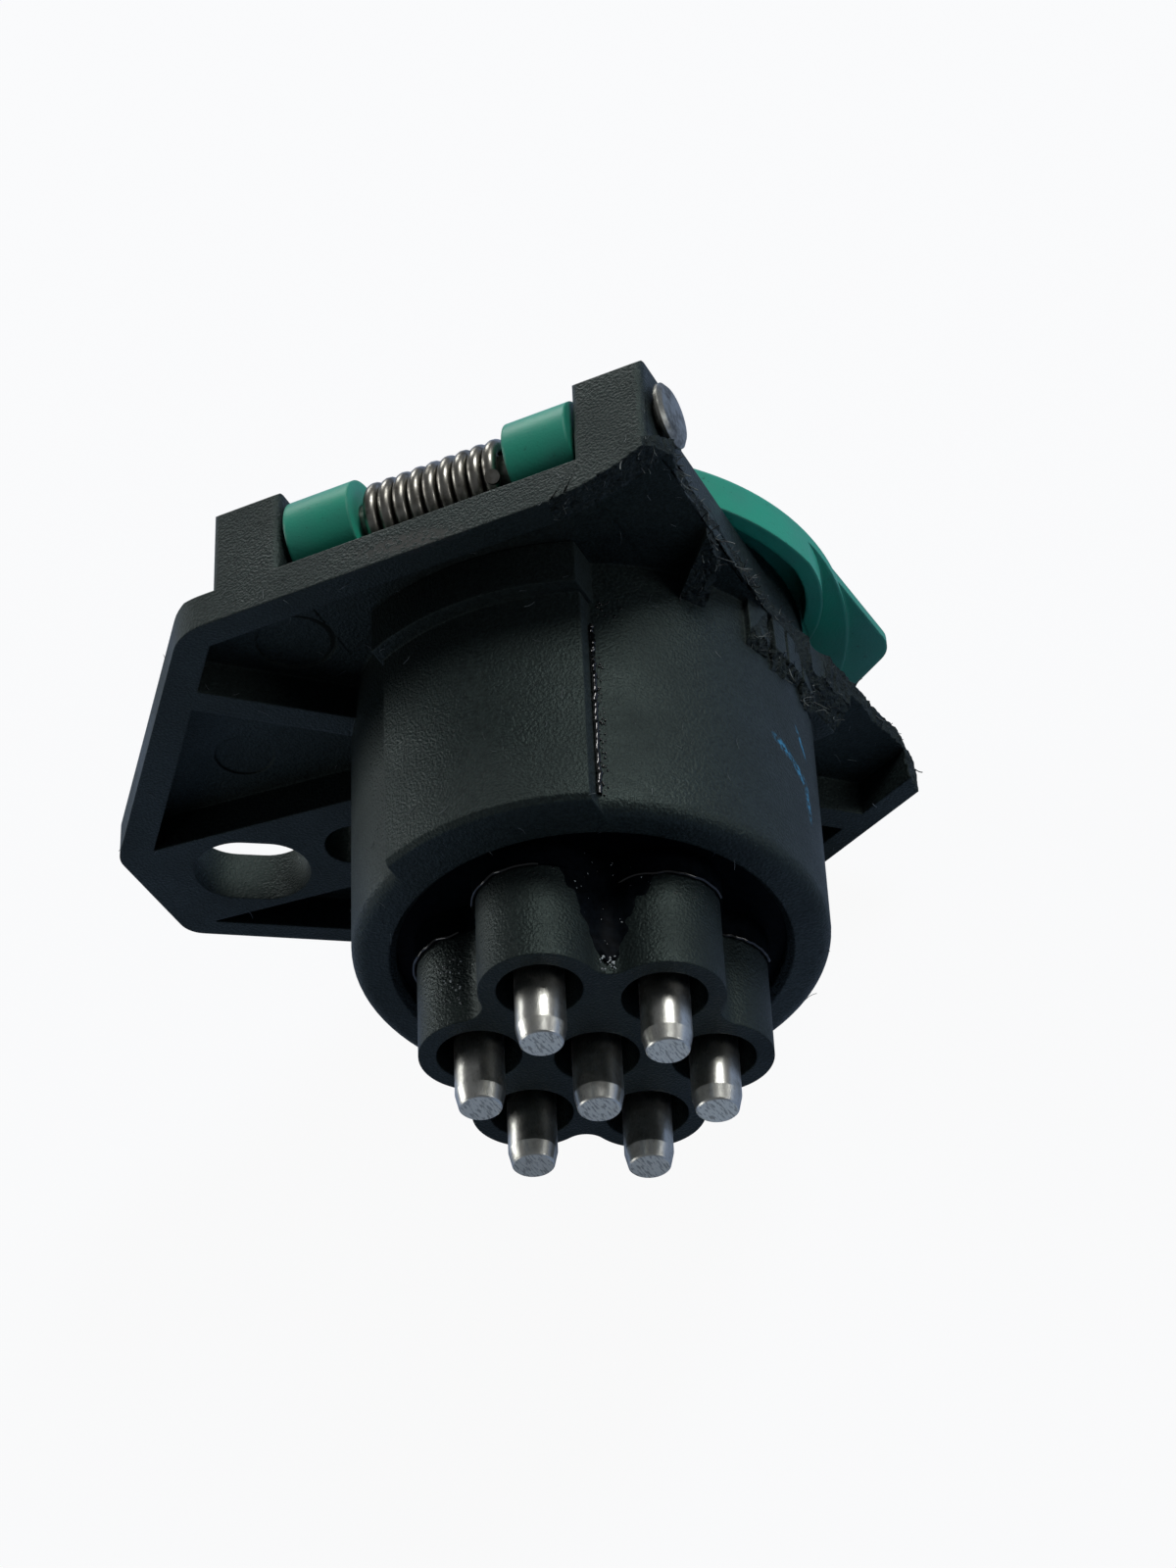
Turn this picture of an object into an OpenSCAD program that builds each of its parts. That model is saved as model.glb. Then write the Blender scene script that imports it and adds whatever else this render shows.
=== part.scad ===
// Seven-pole trailer socket with a sprung flip lid and rear push-on contacts.
// The right mounting ear is broken off, as on the object this was drawn from.
// X runs along the hinge, +Y points out of the plug opening, +Z is up.
// The origin lies on the plug axis, in the flange's rear mounting face.

/* [Housing] */
// Outer diameter of the barrel, in front of and behind the flange
barrel_d = 46.2; // [45.4:0.1:47]
// Thickness of the barrel's wall round the cavity that takes the plug
wall_t = 2.3; // [1.9:0.1:2.7]
// Depth of the wider lead-in at the barrel's mouth
lead_depth = 6.5; // [3:0.1:6.8]
// Distance of the barrel's mouth in front of the mounting face
mouth_y = 12.5; // [11.8:0.1:14]
// Distance of the housing's rear face behind the mounting face
rear_y = 25.9; // [25:0.1:30]
// Rounding of the housing's rear outer edge
rear_edge_r = 1.5; // [0.5:0.1:2]
// Width of the rear counterbore beyond the insert's tubes, all round
seat_margin = 1.95; // [1.65:0.05:2.25]
// Depth of the rear counterbore
seat_depth = 7; // [6:0.1:9]
// Width of the shoulder that stops the insert
shoulder_w = 1.5; // [1:0.1:2]
// Thickness of the shoulder along the plug axis
shoulder_t = 2.5; // [2:0.1:3.5]
// Width of the raised key pad on top of the housing
pad_w = 21.1; // [18:0.1:24]
// Height of the key pad over the barrel
pad_rise = 1.7; // [1:0.1:2]
// Width of the plug's key slot inside the cavity
key_w = 9.6; // [8:0.1:12]
// Depth of the key slot beyond the cavity wall
key_depth = 1.4; // [1:0.1:1.8]

/* [Flange] */
// Half width of the flange, from the plug axis to an ear's end
ear_x = 50; // [48:0.5:54]
// Height of the flange's top edge over the barrel
top_rise = 11.1; // [10.5:0.1:11.9]
// Thickness of the flange at its edge
edge_t = 3.95; // [3:0.05:4.5]
// Thickness of the flange inside its bevelled edge
plate_t = 5.8; // [5:0.1:6.6]
// Width of the bevel along the front edge
bevel_run = 3.5; // [2:0.1:5]
// Distance of the upper slanted edge from the plug axis
slant_dist = 42.4; // [41.5:0.1:43.5]
// Distance of the lower slanted edge beyond the bottom edge's radius
lower_extra = 2.3; // [1.8:0.1:2.8]
// Radius of the bottom edge round the plug axis
bottom_r = 32.2; // [31.5:0.1:33]
// Width of the rim along the top edge
rim_top = 3; // [2:0.1:3.6]
// Width of the rim along the upper slanted edge
rim_slant = 3.3; // [2.5:0.1:4]
// Width of the rim along the lower edges
rim_low = 2.2; // [1.8:0.1:3]
// Depth of the weight-saving pockets in the rear face
pocket_depth = 4.1; // [2.5:0.1:4.3]
// Width of the ribs between the pockets
rib_w = 2.8; // [2:0.1:3.6]

/* [Ear holes] */
// Distance of the oblong hole's centre from the plug axis, sideways
oblong_x = 38.8; // [38:0.1:40]
// Width of the oblong hole
oblong_w = 9.4; // [7:0.1:10]
// Overall length of the oblong hole
oblong_l = 12.1; // [10.5:0.1:13]
// Distance of the small hole's centre from the plug axis, sideways
small_x = 27.4; // [27:0.1:28]
// Diameter of the small hole
small_d = 6.2; // [5:0.1:6.6]

/* [Insert] */
// Outer diameter of the tube round each rear contact
silo_d = 11.5; // [11:0.1:12]
// Bore of each tube
silo_bore_d = 8.1; // [7:0.1:8.6]
// Distance of the tubes' rear ends behind the mounting face
silo_y = 37.5; // [34:0.1:42]
// Depth of the tubes' bores
silo_bore_depth = 13; // [8:0.5:14]
// Radius of the hollow blend between two tubes
silo_blend_r = 2.2; // [1.2:0.1:3]
// Height of the insert's face over the cavity floor
insert_proud = 1; // [0.5:0.1:2]
// Clearance round the insert
insert_gap = 0.05; // [0.02:0.01:0.15]
// Depth of the sealant's surface below the rear face
potting_sink = 1.5; // [0.8:0.1:2.5]
// Thickness of the sealant
potting_t = 1.5; // [1:0.1:2]
// Thickness of the sealant film that has crept up the tubes
creep_t = 0.25; // [0.15:0.05:0.4]
// Height of that film over the sealant's surface
creep_h = 3; // [1:0.1:5]

/* [Contacts] */
// Diameter of the contact pins
contact_d = 4.76; // [4.2:0.02:5.2]
// Diameter of the circle on which the pins stand
contact_pcd = 22.2; // [21.8:0.1:22.6]
// Extra distance of the ground contact from the plug axis
ground_shift = 1.1; // [0:0.1:1.3]
// Diameter of the ground pin inside the plug cavity
ground_d = 6.2; // [5.4:0.1:7]
// Distance of the pins' rear ends behind the mounting face
contact_rear_y = 43.5; // [41:0.1:48]
// Distance of the pins' front ends below the barrel's mouth
contact_sink = 7.5; // [5:0.1:10]
// Diameter of a pin's rear end face
tip_d = 4.1; // [3.4:0.1:4.1]
// Length of the taper behind that face
tip_l = 1.6; // [0.8:0.1:2.5]
// Height of the collar that seats a pin in the insert
collar_rise = 0.6; // [0.4:0.1:1]
// Length of that collar
collar_l = 4; // [2:0.5:6]
// Clearance between a pin and its hole
contact_gap = 0.02; // [0.01:0.01:0.06]

/* [Hinge] */
// Distance of the hinge axis in front of the mounting face
hinge_y = 9.7; // [9.6:0.1:10]
// Height of the hinge axis over the barrel
hinge_rise = 6.7; // [6.5:0.1:7.1]
// Diameter of the hinge pin
hinge_pin_d = 4; // [3.4:0.1:4.2]
// Diameter of the hinge pin's head
hinge_head_d = 6.6; // [5.8:0.1:7.4]
// Thickness of the hinge pin's head
hinge_head_t = 0.9; // [0.6:0.1:1.4]
// Gap between the head and the lug
hinge_head_gap = 0.6; // [0.2:0.1:1]
// Distance between the two lugs
lug_span = 31.4; // [31:0.1:32.4]
// Width of each lug
lug_w = 7.5; // [6.5:0.1:8.5]
// Distance of the lugs' front faces in front of the hinge axis
lug_front = 4.4; // [3.8:0.1:4.8]
// Height of the lugs
lug_h = 8.8; // [8.2:0.1:9.4]
// Radial clearance of the lid's knuckles on the hinge pin
hinge_run = 0.05; // [0.03:0.01:0.1]
// Radial clearance of the hinge pin in the lugs
lug_fit = 0.02; // [0.01:0.01:0.04]

/* [Lid] */
// Distance of the lid's edge beyond the barrel, all round
lid_rim = 4.6; // [4.4:0.1:4.9]
// Wall thickness of the hood round the lid's upper half
skirt_t = 1.7; // [1.2:0.1:1.9]
// Length of the hood behind the lid's plate
skirt_h = 3; // [1.5:0.1:3.2]
// Rounding of the hood's lower corners, where it curls in towards the barrel
hood_r = 13.5; // [12:0.5:15]
// Gap between the lid's plate and the barrel's mouth
lid_gap = 0.5; // [0.3:0.1:0.8]
// Thickness of the lid's plate
lid_t = 1.7; // [1.4:0.1:2]
// Distance of the tab's slanted edge beyond the lid's edge
tab_extra = 1; // [0.3:0.1:1.3]
// Rounding of the tab's corners
tab_r = 3.2; // [1:0.1:4]
// Thickness of the tabs
tab_t = 1; // [0.8:0.1:1.4]
// Outer diameter of the lid's knuckles
knuckle_d = 9.2; // [8.6:0.1:9.4]
// Gap between a knuckle and its lug
knuckle_gap = 0.6; // [0.3:0.1:1]
// Width of the left knuckle
knuckle_l_w = 7; // [6:0.1:7]
// Width of the right knuckle
knuckle_r_w = 6.6; // [6:0.1:7.5]

/* [Spring] */
// Wire diameter of the torsion spring
wire_d = 1.45; // [1.1:0.05:1.6]
// Gap between the coil and the hinge pin
coil_gap = 0.25; // [0.15:0.05:0.4]
// Number of turns
coil_turns = 9; // [5:1:9]
// Gap between the coil and the left knuckle
coil_l_gap = 0.1; // [0.05:0.05:0.6]
// Gap between the coil and the right knuckle
coil_r_gap = 0.65; // [0.1:0.05:1]
// Length of the leg that bears on the lid's front
leg_l = 10; // [6:0.5:14]

/* [Hidden] */
$fn = 96;
eps = 0.01;
far = 80;

plastic = [0.13, 0.14, 0.14];
gloss = [0.05, 0.05, 0.05];
green = [0.09, 0.48, 0.38];
steel = [0.62, 0.62, 0.6];

barrel_r = barrel_d / 2;
top_z = barrel_r + top_rise;
hinge_z = barrel_r + hinge_rise;
seat_d = contact_pcd + silo_d + 2 * seat_margin;
shoulder_d = seat_d - 2 * shoulder_w;
cavity_r = barrel_r - wall_t;
lead_r = cavity_r + 0.4;
pad_r = barrel_r + pad_rise;
seat_y = -rear_y + seat_depth;
floor_y = seat_y + shoulder_t;
mouth_chamfer = 0.6;
recess_chamfer = 0.7;
pad_chamfer = 0.5;
pad_root_rise = 1.7;
pad_root_side = 0.4;
pad_root_h = 1;

lower_dist = bottom_r + lower_extra;
slant_a = 40.1;
lower_a = -55.9;
bottom_a = -64.3;
bottom_step = 0.05;
bottom_lap = 1;
top_corner_r = 5.5;
ear_corner_r = 3;
low_corner_r = 8;
rim_end = 3.6;
mark_depth = 0.2;
// Ejector marks in each pocket floor: sideways, height, radius, in barrel radii
marks = [[0.844, 1.026, 0.169], [1.416, 0.463, 0.13]];

oblong_z = -1.8;
oblong_a = -33;
small_z = -2.9;
ear_bar_a = 6;
ear_bar_off = -5.5;
ear_bar_w = 13.4;

upper_rib_a = 42.8;
upper_rib_off = -2.4;
lower_rib_a = -42.4;
lower_rib_off = -4.65;

contact_front_y = mouth_y - contact_sink;
contact_r = contact_d / 2;
circle_r = contact_pcd / 2;
tip_chamfer = 0.15;
nose_r = 1;
silo_r = silo_d / 2;
ring_a = [for (k = [0:5]) 90 - 60 * k];
ring_r = [for (k = [0:5]) k == 0 ? circle_r + ground_shift : circle_r];
ring = [for (k = [0:5]) ring_r[k] * [cos(ring_a[k]), sin(ring_a[k])]];
centres = concat(ring, [[0, 0]]);
front_r = [for (k = [0:6]) k == 0 ? ground_d / 2 : contact_r];
silo_floor_y = -silo_y + silo_bore_depth;
insert_front_y = floor_y + insert_proud;
disc_back_y = -rear_y + potting_sink + potting_t;
potting_y = -rear_y + potting_sink;

lug_in = lug_span / 2;
lug_out = lug_in + lug_w;
lug_chamfer = 0.5;
lug_corner_r = 1;
knuckle_r = knuckle_d / 2;
knuckle_out = lug_in - knuckle_gap;
knuckle_l_in = -knuckle_out + knuckle_l_w;
knuckle_r_in = knuckle_out - knuckle_r_w;
hinge_pin_r = hinge_pin_d / 2;
pin_tail = 0.5;
pin_chamfer = 0.4;

lid_r = barrel_r + lid_rim;
tab_dist = lid_r + tab_extra;
lid_back = mouth_y + lid_gap;
lid_front = lid_back + lid_t;
skirt_y = lid_back - skirt_h;
skirt_in_r = lid_r - skirt_t;
skirt_clear = 0.5;
web_y = skirt_y - skirt_clear;
hood_inset = 0.3;
hood_low = -10;
lid_edge_r = 0.8;
tab_a = -57.3;
tab_side_a = 4.3;
tab_side = lid_r - 0.6;
tab_top = 4;

coil_r = hinge_pin_r + coil_gap + wire_d / 2;
coil_x0 = knuckle_l_in + coil_l_gap + wire_d / 2;
coil_x1 = knuckle_r_in - coil_r_gap - wire_d / 2;
coil_clear = 0.5;
relief_gap = 0.4;
relief_y = hinge_y - knuckle_r - relief_gap;

coil_step = 24;
coil_start = -70;
wire_sides = 8;
wire_end_a = 133;
wire_end_l = 1.6;
leg_y = lid_front + wire_d / 2 + 0.03;
leg_top = hinge_z - coil_r + wire_d * 0.75;
// The wire's path: the coil from its right end, then the leg over the lid's
// top edge and down its front
coil_path = [for (a = [0:coil_step:coil_turns * 360]) [
    coil_x1 - (coil_x1 - coil_x0) * a / (coil_turns * 360),
    hinge_y + coil_r * cos(coil_start + a),
    hinge_z + coil_r * sin(coil_start + a)
]];
leg_path = [
    [coil_x0, lid_back - 0.3, leg_top],
    [coil_x0, lid_front - 0.1, leg_top + 0.25],
    [coil_x0, leg_y - 0.2, leg_top],
    [coil_x0, leg_y, leg_top - 0.6],
    [coil_x0, leg_y, leg_top - 1.5],
    [coil_x0, leg_y, leg_top - leg_l]
];

// Rows of the fracture that took the right ear off, from the top down: height,
// then distance from the plug axis in the rear and in the front face, all in
// barrel radii.
fracture = [
    [far / barrel_r, 0.974, 0.974],
    [1.489, 0.974, 0.974],
    [1.437, 1.022, 1.03],
    [1.32, 1.039, 1.061],
    [1.19, 0.978, 1.022],
    [1.039, 0.957, 1.009],
    [0.866, 0.974, 1.013],
    [0.714, 0.944, 1.004],
    [0.541, 0.97, 1.013],
    [0.346, 0.97, 1.009],
    [0.156, 0.991, 1.026],
    [0, 1.009, 1.048],
    [-0.087, 1.052, 1.078],
    [-0.281, 1.061, 1.1],
    [-0.433, 1.1, 1.113],
    [-0.623, 1.1, 1.134],
    [-0.758, 1.156, 1.147],
    [-0.866, 1.186, 1.16],
    [-far / barrel_r, 1.281, 1.177]
];
// The torn stretch of the top rim: distance sideways and depth left standing,
// in barrel radii
torn_rim = [
    [0.545, 0], [0.671, 0.011], [0.779, 0.043], [0.866, 0.069], [0.974, 0.113], [1.061, 0.152], [1.169, 0.165]
];
// Torn stubs at the ear's root: start angle, sweep, height in barrel radii
torn_root = [[-13, 6, 0.052], [-7.5, 5, 0.087], [-1, 7, 0.043], [7, 5, 0.095], [14, 7, 0.061]];
// Depths torn off the rear of the upper rib and of the ear's bar: distance from
// the plug axis, then depth, in barrel radii
torn_rib = [[0.9, 0.01], [1.06, 0.06], [1.15, 0.095], [1.4, 0.14]];
torn_bar = [[0.96, 0.01], [1.01, 0.065], [1.04, 0.11], [1.4, 0.16]];

function meet(a, da, b, db) = [
    (da * sin(b) - db * sin(a)) / sin(b - a),
    (db * cos(a) - da * cos(b)) / sin(b - a)
];
function unit(v) = v / norm(v);
function on_ring(p, q) = norm(q - p) / 2;

// A flat outline in the X-Z plane, given thickness along Y
module along_y(y0, y1) {
    translate([0, y1, 0])
        rotate([90, 0, 0])
            linear_extrude(y1 - y0)
                children();
}

// A flat outline in the Y-Z plane, given width along X
module along_x(x0, x1) {
    translate([x0, 0, 0])
        rotate([90, 0, 90])
            linear_extrude(x1 - x0)
                children();
}

// A radius-and-Y profile turned round the plug axis
module turned(from = 0, sweep = 360) {
    rotate([90, 0, 0])
        rotate([0, 0, from])
            rotate_extrude(angle = sweep)
                mirror([0, 1])
                    children();
}

// A convex outline whose corners are rounded by true arcs
module rounded(points, radii) {
    n = len(points);
    to_prev = [for (i = [0:n - 1]) unit(points[(i + n - 1) % n] - points[i])];
    to_next = [for (i = [0:n - 1]) unit(points[(i + 1) % n] - points[i])];
    half = [for (i = [0:n - 1]) acos(to_prev[i] * to_next[i]) / 2];
    cut = [for (i = [0:n - 1]) radii[i] / tan(half[i])];
    polygon([for (i = [0:n - 1]) each radii[i] > 0
        ? [points[i] + to_prev[i] * cut[i], points[i] + to_next[i] * cut[i]]
        : [points[i]]]);
    for (i = [0:n - 1])
        if (radii[i] > 0)
            translate(points[i] + unit(to_prev[i] + to_next[i]) * radii[i] / sin(half[i]))
                circle(radii[i]);
}

function mirrored(half) = concat(half, [for (i = [len(half) - 1:-1:0]) [-half[i][0], half[i][1]]]);

// The flange's right half from the top down, each edge moved in by its rim
function flange_half(top, slant, side, low) = [
    meet(90, top_z - top, slant_a, slant_dist - slant),
    meet(slant_a, slant_dist - slant, 0, ear_x - side),
    meet(0, ear_x - side, lower_a, lower_dist - low),
    meet(lower_a, lower_dist - low, bottom_a, bottom_r - low),
    (bottom_r - low) * [cos(bottom_a), sin(bottom_a)]
];

// The lower half of a disc, for the bottom edge
module bottom_round(r) {
    difference() {
        circle(r);
        translate([-far, 0])
            square([2 * far, far]);
    }
}

module flange_outline() {
    radii = [top_corner_r, ear_corner_r, ear_corner_r, low_corner_r, 0];
    rounded(mirrored(flange_half(0, 0, 0, 0)), concat(radii, [for (i = [4:-1:0]) radii[i]]));
    bottom_round(bottom_r - bottom_step);
}

module pocket_outline() {
    difference() {
        union() {
            polygon(mirrored(flange_half(rim_top, rim_slant, rim_end, rim_low)));
            bottom_round(bottom_r - rim_low - bottom_step);
        }
        for (side = [0, 1])
            mirror([side, 0]) {
                band(upper_rib_a, upper_rib_off, rib_w);
                band(lower_rib_a, lower_rib_off, rib_w);
                band(ear_bar_a, ear_bar_off, ear_bar_w);
            }
    }
}

// A rib or bar left standing between pockets, by its direction, its offset
// from the plug axis and its width
module band(a, off, w) {
    rotate(a)
        translate([0, off - w / 2])
            square([far, w]);
}

// What the bevel takes off an edge at this distance, past both its ends
module bevel_profile(dist) {
    slope = (plate_t - edge_t) / bevel_run;
    polygon([
        [dist - bevel_run - 1, plate_t + slope],
        [dist + 1, edge_t - slope],
        [dist + 1, plate_t + slope]
    ]);
}

// The bevel along one straight edge, by its normal's direction and distance
module edge_bevel(a, dist) {
    rotate([0, -a, 0])
        linear_extrude(2 * far, center = true)
            bevel_profile(dist);
}

module bevels() {
    edge_bevel(90, top_z);
    for (side = [0, 1])
        mirror([side, 0, 0]) {
            edge_bevel(slant_a, slant_dist);
            edge_bevel(0, ear_x);
            edge_bevel(lower_a, lower_dist);
            edge_bevel(bottom_a, bottom_r);
        }
    turned(-180 - bottom_a - bottom_lap, 2 * (90 + bottom_a + bottom_lap))
        bevel_profile(bottom_r - bottom_step);
}

module ear_holes() {
    along_y(-1, plate_t + 1)
        translate([oblong_x, oblong_z])
            rotate(-oblong_a)
                oblong();
    along_y(-1, plate_t + 1)
        translate([small_x, small_z])
            circle(small_d / 2);
}

module oblong() {
    run = (oblong_l - oblong_w) / 2;
    for (side = [-1, 1])
        translate([side * run, 0])
            circle(oblong_w / 2);
    square([2 * run, oblong_w], center = true);
}

module ejector_marks() {
    along_y(pocket_depth - eps, pocket_depth + mark_depth)
        for (mark = barrel_r * marks)
            translate([mark[0], mark[1]])
                circle(mark[2]);
}

// Everything to the right of the fracture
module lost_ear() {
    n = len(fracture);
    y0 = -1;
    y1 = plate_t + 1;
    points = [for (row = barrel_r * fracture) each [
        [row[1], y0, row[0]],
        [row[2], y1, row[0]],
        [far, y1, row[0]],
        [far, y0, row[0]]
    ]];
    sides = [for (i = [0:n - 2], k = [0:3]) each [
        [4 * i + k, 4 * i + 4 + (k + 1) % 4, 4 * i + (k + 1) % 4],
        [4 * i + k, 4 * i + 4 + k, 4 * i + 4 + (k + 1) % 4]
    ]];
    polyhedron(points, concat(sides, [[0, 1, 2, 3], [for (k = [3:-1:0]) 4 * n - 4 + k]]));
}

module torn_top() {
    tear = barrel_r * torn_rim;
    translate([0, 0, top_z - rim_top - 1])
        linear_extrude(rim_top + 2)
            polygon(concat(tear, [[ear_x, -1], [tear[0][0], -1]]));
}

// What was torn off the rear of a rib or bar on the right
module lost_rear(a, off, w, torn) {
    tear = barrel_r * torn;
    rotate([0, -a, 0])
        translate([0, 0, off])
            linear_extrude(w + 1, center = true)
                polygon(concat(tear, [[tear[3][0], -1], [tear[0][0], -1]]));
}

module torn_stubs() {
    for (stub = torn_root)
        turned(stub[0], stub[1])
            polygon([
                [barrel_r - 1, -stub[2] * barrel_r],
                [barrel_r + 0.15, -stub[2] * barrel_r],
                [barrel_r + 0.8, 0],
                [barrel_r + 0.7, edge_t],
                [barrel_r - 1, edge_t]
            ]);
}

module flange() {
    difference() {
        along_y(0, plate_t)
            flange_outline();
        along_y(-1, pocket_depth)
            pocket_outline();
        bevels();
        for (side = [0, 1])
            mirror([side, 0, 0]) {
                ejector_marks();
                ear_holes();
            }
        lost_ear();
        lost_rear(upper_rib_a, upper_rib_off, rib_w, torn_rib);
        lost_rear(ear_bar_a, ear_bar_off, ear_bar_w, torn_bar);
        torn_top();
        translate([-lug_in, relief_y, hinge_z - knuckle_r - relief_gap])
            cube([lug_span, plate_t, far]);
    }
}

// The turned body: barrel in front of the flange, housing behind it
module shell_profile() {
    translate([0, -rear_y + rear_edge_r])
        square([barrel_r, rear_y - rear_edge_r + mouth_y]);
    translate([0, -rear_y])
        square([barrel_r - rear_edge_r, rear_edge_r + eps]);
    translate([barrel_r - rear_edge_r, -rear_y + rear_edge_r])
        circle(rear_edge_r);
}

module key_pad() {
    intersection() {
        turned()
            polygon([
                [0, -rear_y],
                [pad_r - pad_chamfer, -rear_y],
                [pad_r, -rear_y + pad_chamfer],
                [pad_r, mouth_y - pad_chamfer],
                [pad_r - pad_chamfer, mouth_y],
                [0, mouth_y]
            ]);
        translate([-pad_w / 2, -far, 0])
            cube([pad_w, 2 * far, far]);
    }
    intersection() {
        turned()
            translate([0, -pad_root_h])
                square([pad_r + pad_root_rise, pad_root_h + edge_t]);
        translate([-pad_w / 2 - pad_root_side, -far, 0])
            cube([pad_w + 2 * pad_root_side, 2 * far, far]);
    }
}

module lug() {
    top_y = hinge_y + lug_front;
    low_z = top_z - lug_h;
    intersection() {
        along_x(lug_in, lug_out)
            polygon([
                [edge_t - eps, low_z],
                [top_y - lug_chamfer, low_z],
                [top_y, low_z + lug_chamfer],
                [top_y, top_z - lug_chamfer],
                [top_y - lug_chamfer, top_z],
                [edge_t - eps, top_z]
            ]);
        along_y(0, far)
            rounded(
                [[lug_in, low_z - 1], [lug_out, low_z - 1], [lug_out, top_z], [lug_in, top_z]],
                [0, 0, lug_corner_r, lug_corner_r]
            );
    }
    translate([lug_in, edge_t - eps, 0])
        cube([barrel_r - lug_in, web_y - edge_t, low_z + 1]);
}

module hollow() {
    turned()
        polygon([
            [0, -rear_y - 1],
            [seat_d / 2 + recess_chamfer, -rear_y - 1],
            [seat_d / 2 + recess_chamfer, -rear_y],
            [seat_d / 2, -rear_y + recess_chamfer],
            [seat_d / 2, seat_y],
            [shoulder_d / 2, seat_y],
            [shoulder_d / 2, floor_y],
            [cavity_r, floor_y],
            [cavity_r, mouth_y - lead_depth],
            [lead_r, mouth_y - lead_depth],
            [lead_r, mouth_y - mouth_chamfer],
            [lead_r + mouth_chamfer, mouth_y],
            [lead_r + mouth_chamfer, mouth_y + 1],
            [0, mouth_y + 1]
        ]);
    intersection() {
        turned()
            translate([0, floor_y])
                square([cavity_r + key_depth, far]);
        translate([-key_w / 2, floor_y, 0])
            cube([key_w, far, far]);
    }
}

module housing() {
    color(plastic)
        difference() {
            union() {
                flange();
                turned()
                    shell_profile();
                key_pad();
                torn_stubs();
                for (side = [0, 1])
                    mirror([side, 0, 0])
                        lug();
            }
            hollow();
            translate([-far, hinge_y, hinge_z])
                rotate([0, 90, 0])
                    cylinder(h = 2 * far, r = hinge_pin_r + lug_fit);
        }
}

// The scalloped outline of the seven tubes, with hollow blends between them
module tubes_outline(grow = 0) {
    r = silo_r + grow;
    blend = silo_blend_r - grow;
    for (c = centres)
        translate(c)
            circle(r);
    polygon(ring);
    for (k = [0:5]) {
        p = ring[k];
        q = ring[(k + 1) % 6];
        mid = (p + q) / 2;
        out = sqrt(pow(r + blend, 2) - pow(on_ring(p, q), 2));
        away = unit([-(q - p)[1], (q - p)[0]]);
        difference() {
            polygon([p, mid + away * out, q]);
            translate(mid + away * out)
                circle(blend);
        }
    }
}

module insert() {
    color(plastic)
        difference() {
            union() {
                turned()
                    polygon([
                        [0, disc_back_y],
                        [seat_d / 2 - insert_gap, disc_back_y],
                        [seat_d / 2 - insert_gap, seat_y],
                        [shoulder_d / 2 - insert_gap, seat_y],
                        [shoulder_d / 2 - insert_gap, insert_front_y],
                        [0, insert_front_y]
                    ]);
                along_y(-silo_y, disc_back_y + eps)
                    tubes_outline();
            }
            for (k = [0:6])
                translate([centres[k][0], 0, centres[k][1]])
                    turned()
                        polygon([
                            [0, -silo_y - 1],
                            [silo_bore_d / 2, -silo_y - 1],
                            [silo_bore_d / 2, silo_floor_y],
                            [front_r[k] + collar_rise + contact_gap, silo_floor_y],
                            [front_r[k] + collar_rise + contact_gap, silo_floor_y + collar_l],
                            [front_r[k] + contact_gap, silo_floor_y + collar_l],
                            [front_r[k] + contact_gap, insert_front_y + 1],
                            [0, insert_front_y + 1]
                        ]);
        }
}

module sealant() {
    color(gloss)
        difference() {
            union() {
                along_y(potting_y, disc_back_y)
                    circle(seat_d / 2);
                along_y(potting_y - creep_h, potting_y + eps)
                    tubes_outline(creep_t);
            }
            along_y(-silo_y, 0)
                tubes_outline();
        }
}

// A contact pin: tapered push-on end at the rear, a collar that seats in the
// insert, rounded end in the cavity
module contact(k) {
    r = front_r[k];
    color(steel)
        translate([centres[k][0], 0, centres[k][1]])
            turned()
                polygon([
                    [0, -contact_rear_y],
                    [tip_d / 2 - tip_chamfer, -contact_rear_y],
                    [tip_d / 2, -contact_rear_y + tip_chamfer],
                    [contact_r, -contact_rear_y + tip_l],
                    [contact_r, silo_floor_y],
                    [r + collar_rise, silo_floor_y],
                    [r + collar_rise, silo_floor_y + collar_l],
                    [r, silo_floor_y + collar_l],
                    [r, contact_front_y - nose_r],
                    [r - 0.3 * nose_r, contact_front_y - 0.3 * nose_r],
                    [r - nose_r, contact_front_y],
                    [0, contact_front_y]
                ]);
}

module plate_profile() {
    translate([0, lid_back])
        square([lid_r, lid_t - lid_edge_r]);
    translate([0, lid_back])
        square([lid_r - lid_edge_r, lid_t]);
    translate([lid_r - lid_edge_r, lid_front - lid_edge_r])
        circle(lid_edge_r);
}

// The hood's outline, round above and curled in at its lower corners
module hood_outline(inset) {
    x = lid_r - hood_inset - inset;
    r = hood_r - inset;
    intersection() {
        circle(lid_r - inset);
        rounded(mirrored([[x, far], [x, hood_low + inset]]), [0, r, r, 0]);
    }
}

module hood() {
    difference() {
        hood_outline(0);
        hood_outline(skirt_t);
        circle(barrel_r + skirt_clear);
    }
}

// The plate's two lower corners, one to each side, for fingers
module tab_outline() {
    start = meet(tab_side_a, tab_side, 90, tab_top);
    corner = meet(tab_side_a, tab_side, tab_a, tab_dist);
    low = tab_dist * [cos(tab_a), sin(tab_a)];
    rounded(mirrored([start, corner, low]), [0, tab_r, 0, 0, tab_r, 0]);
}

// A knuckle with the arm that joins it to the plate and skirt
module knuckle_outline() {
    translate([hinge_y, hinge_z])
        circle(knuckle_r);
    polygon([
        [hinge_y, hinge_z],
        [hinge_y + knuckle_r, hinge_z],
        [lid_front, hinge_z - knuckle_r / 2],
        [lid_front, cavity_r - 1],
        [skirt_y, cavity_r - 1],
        [skirt_y, hinge_z - knuckle_r]
    ]);
}

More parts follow.
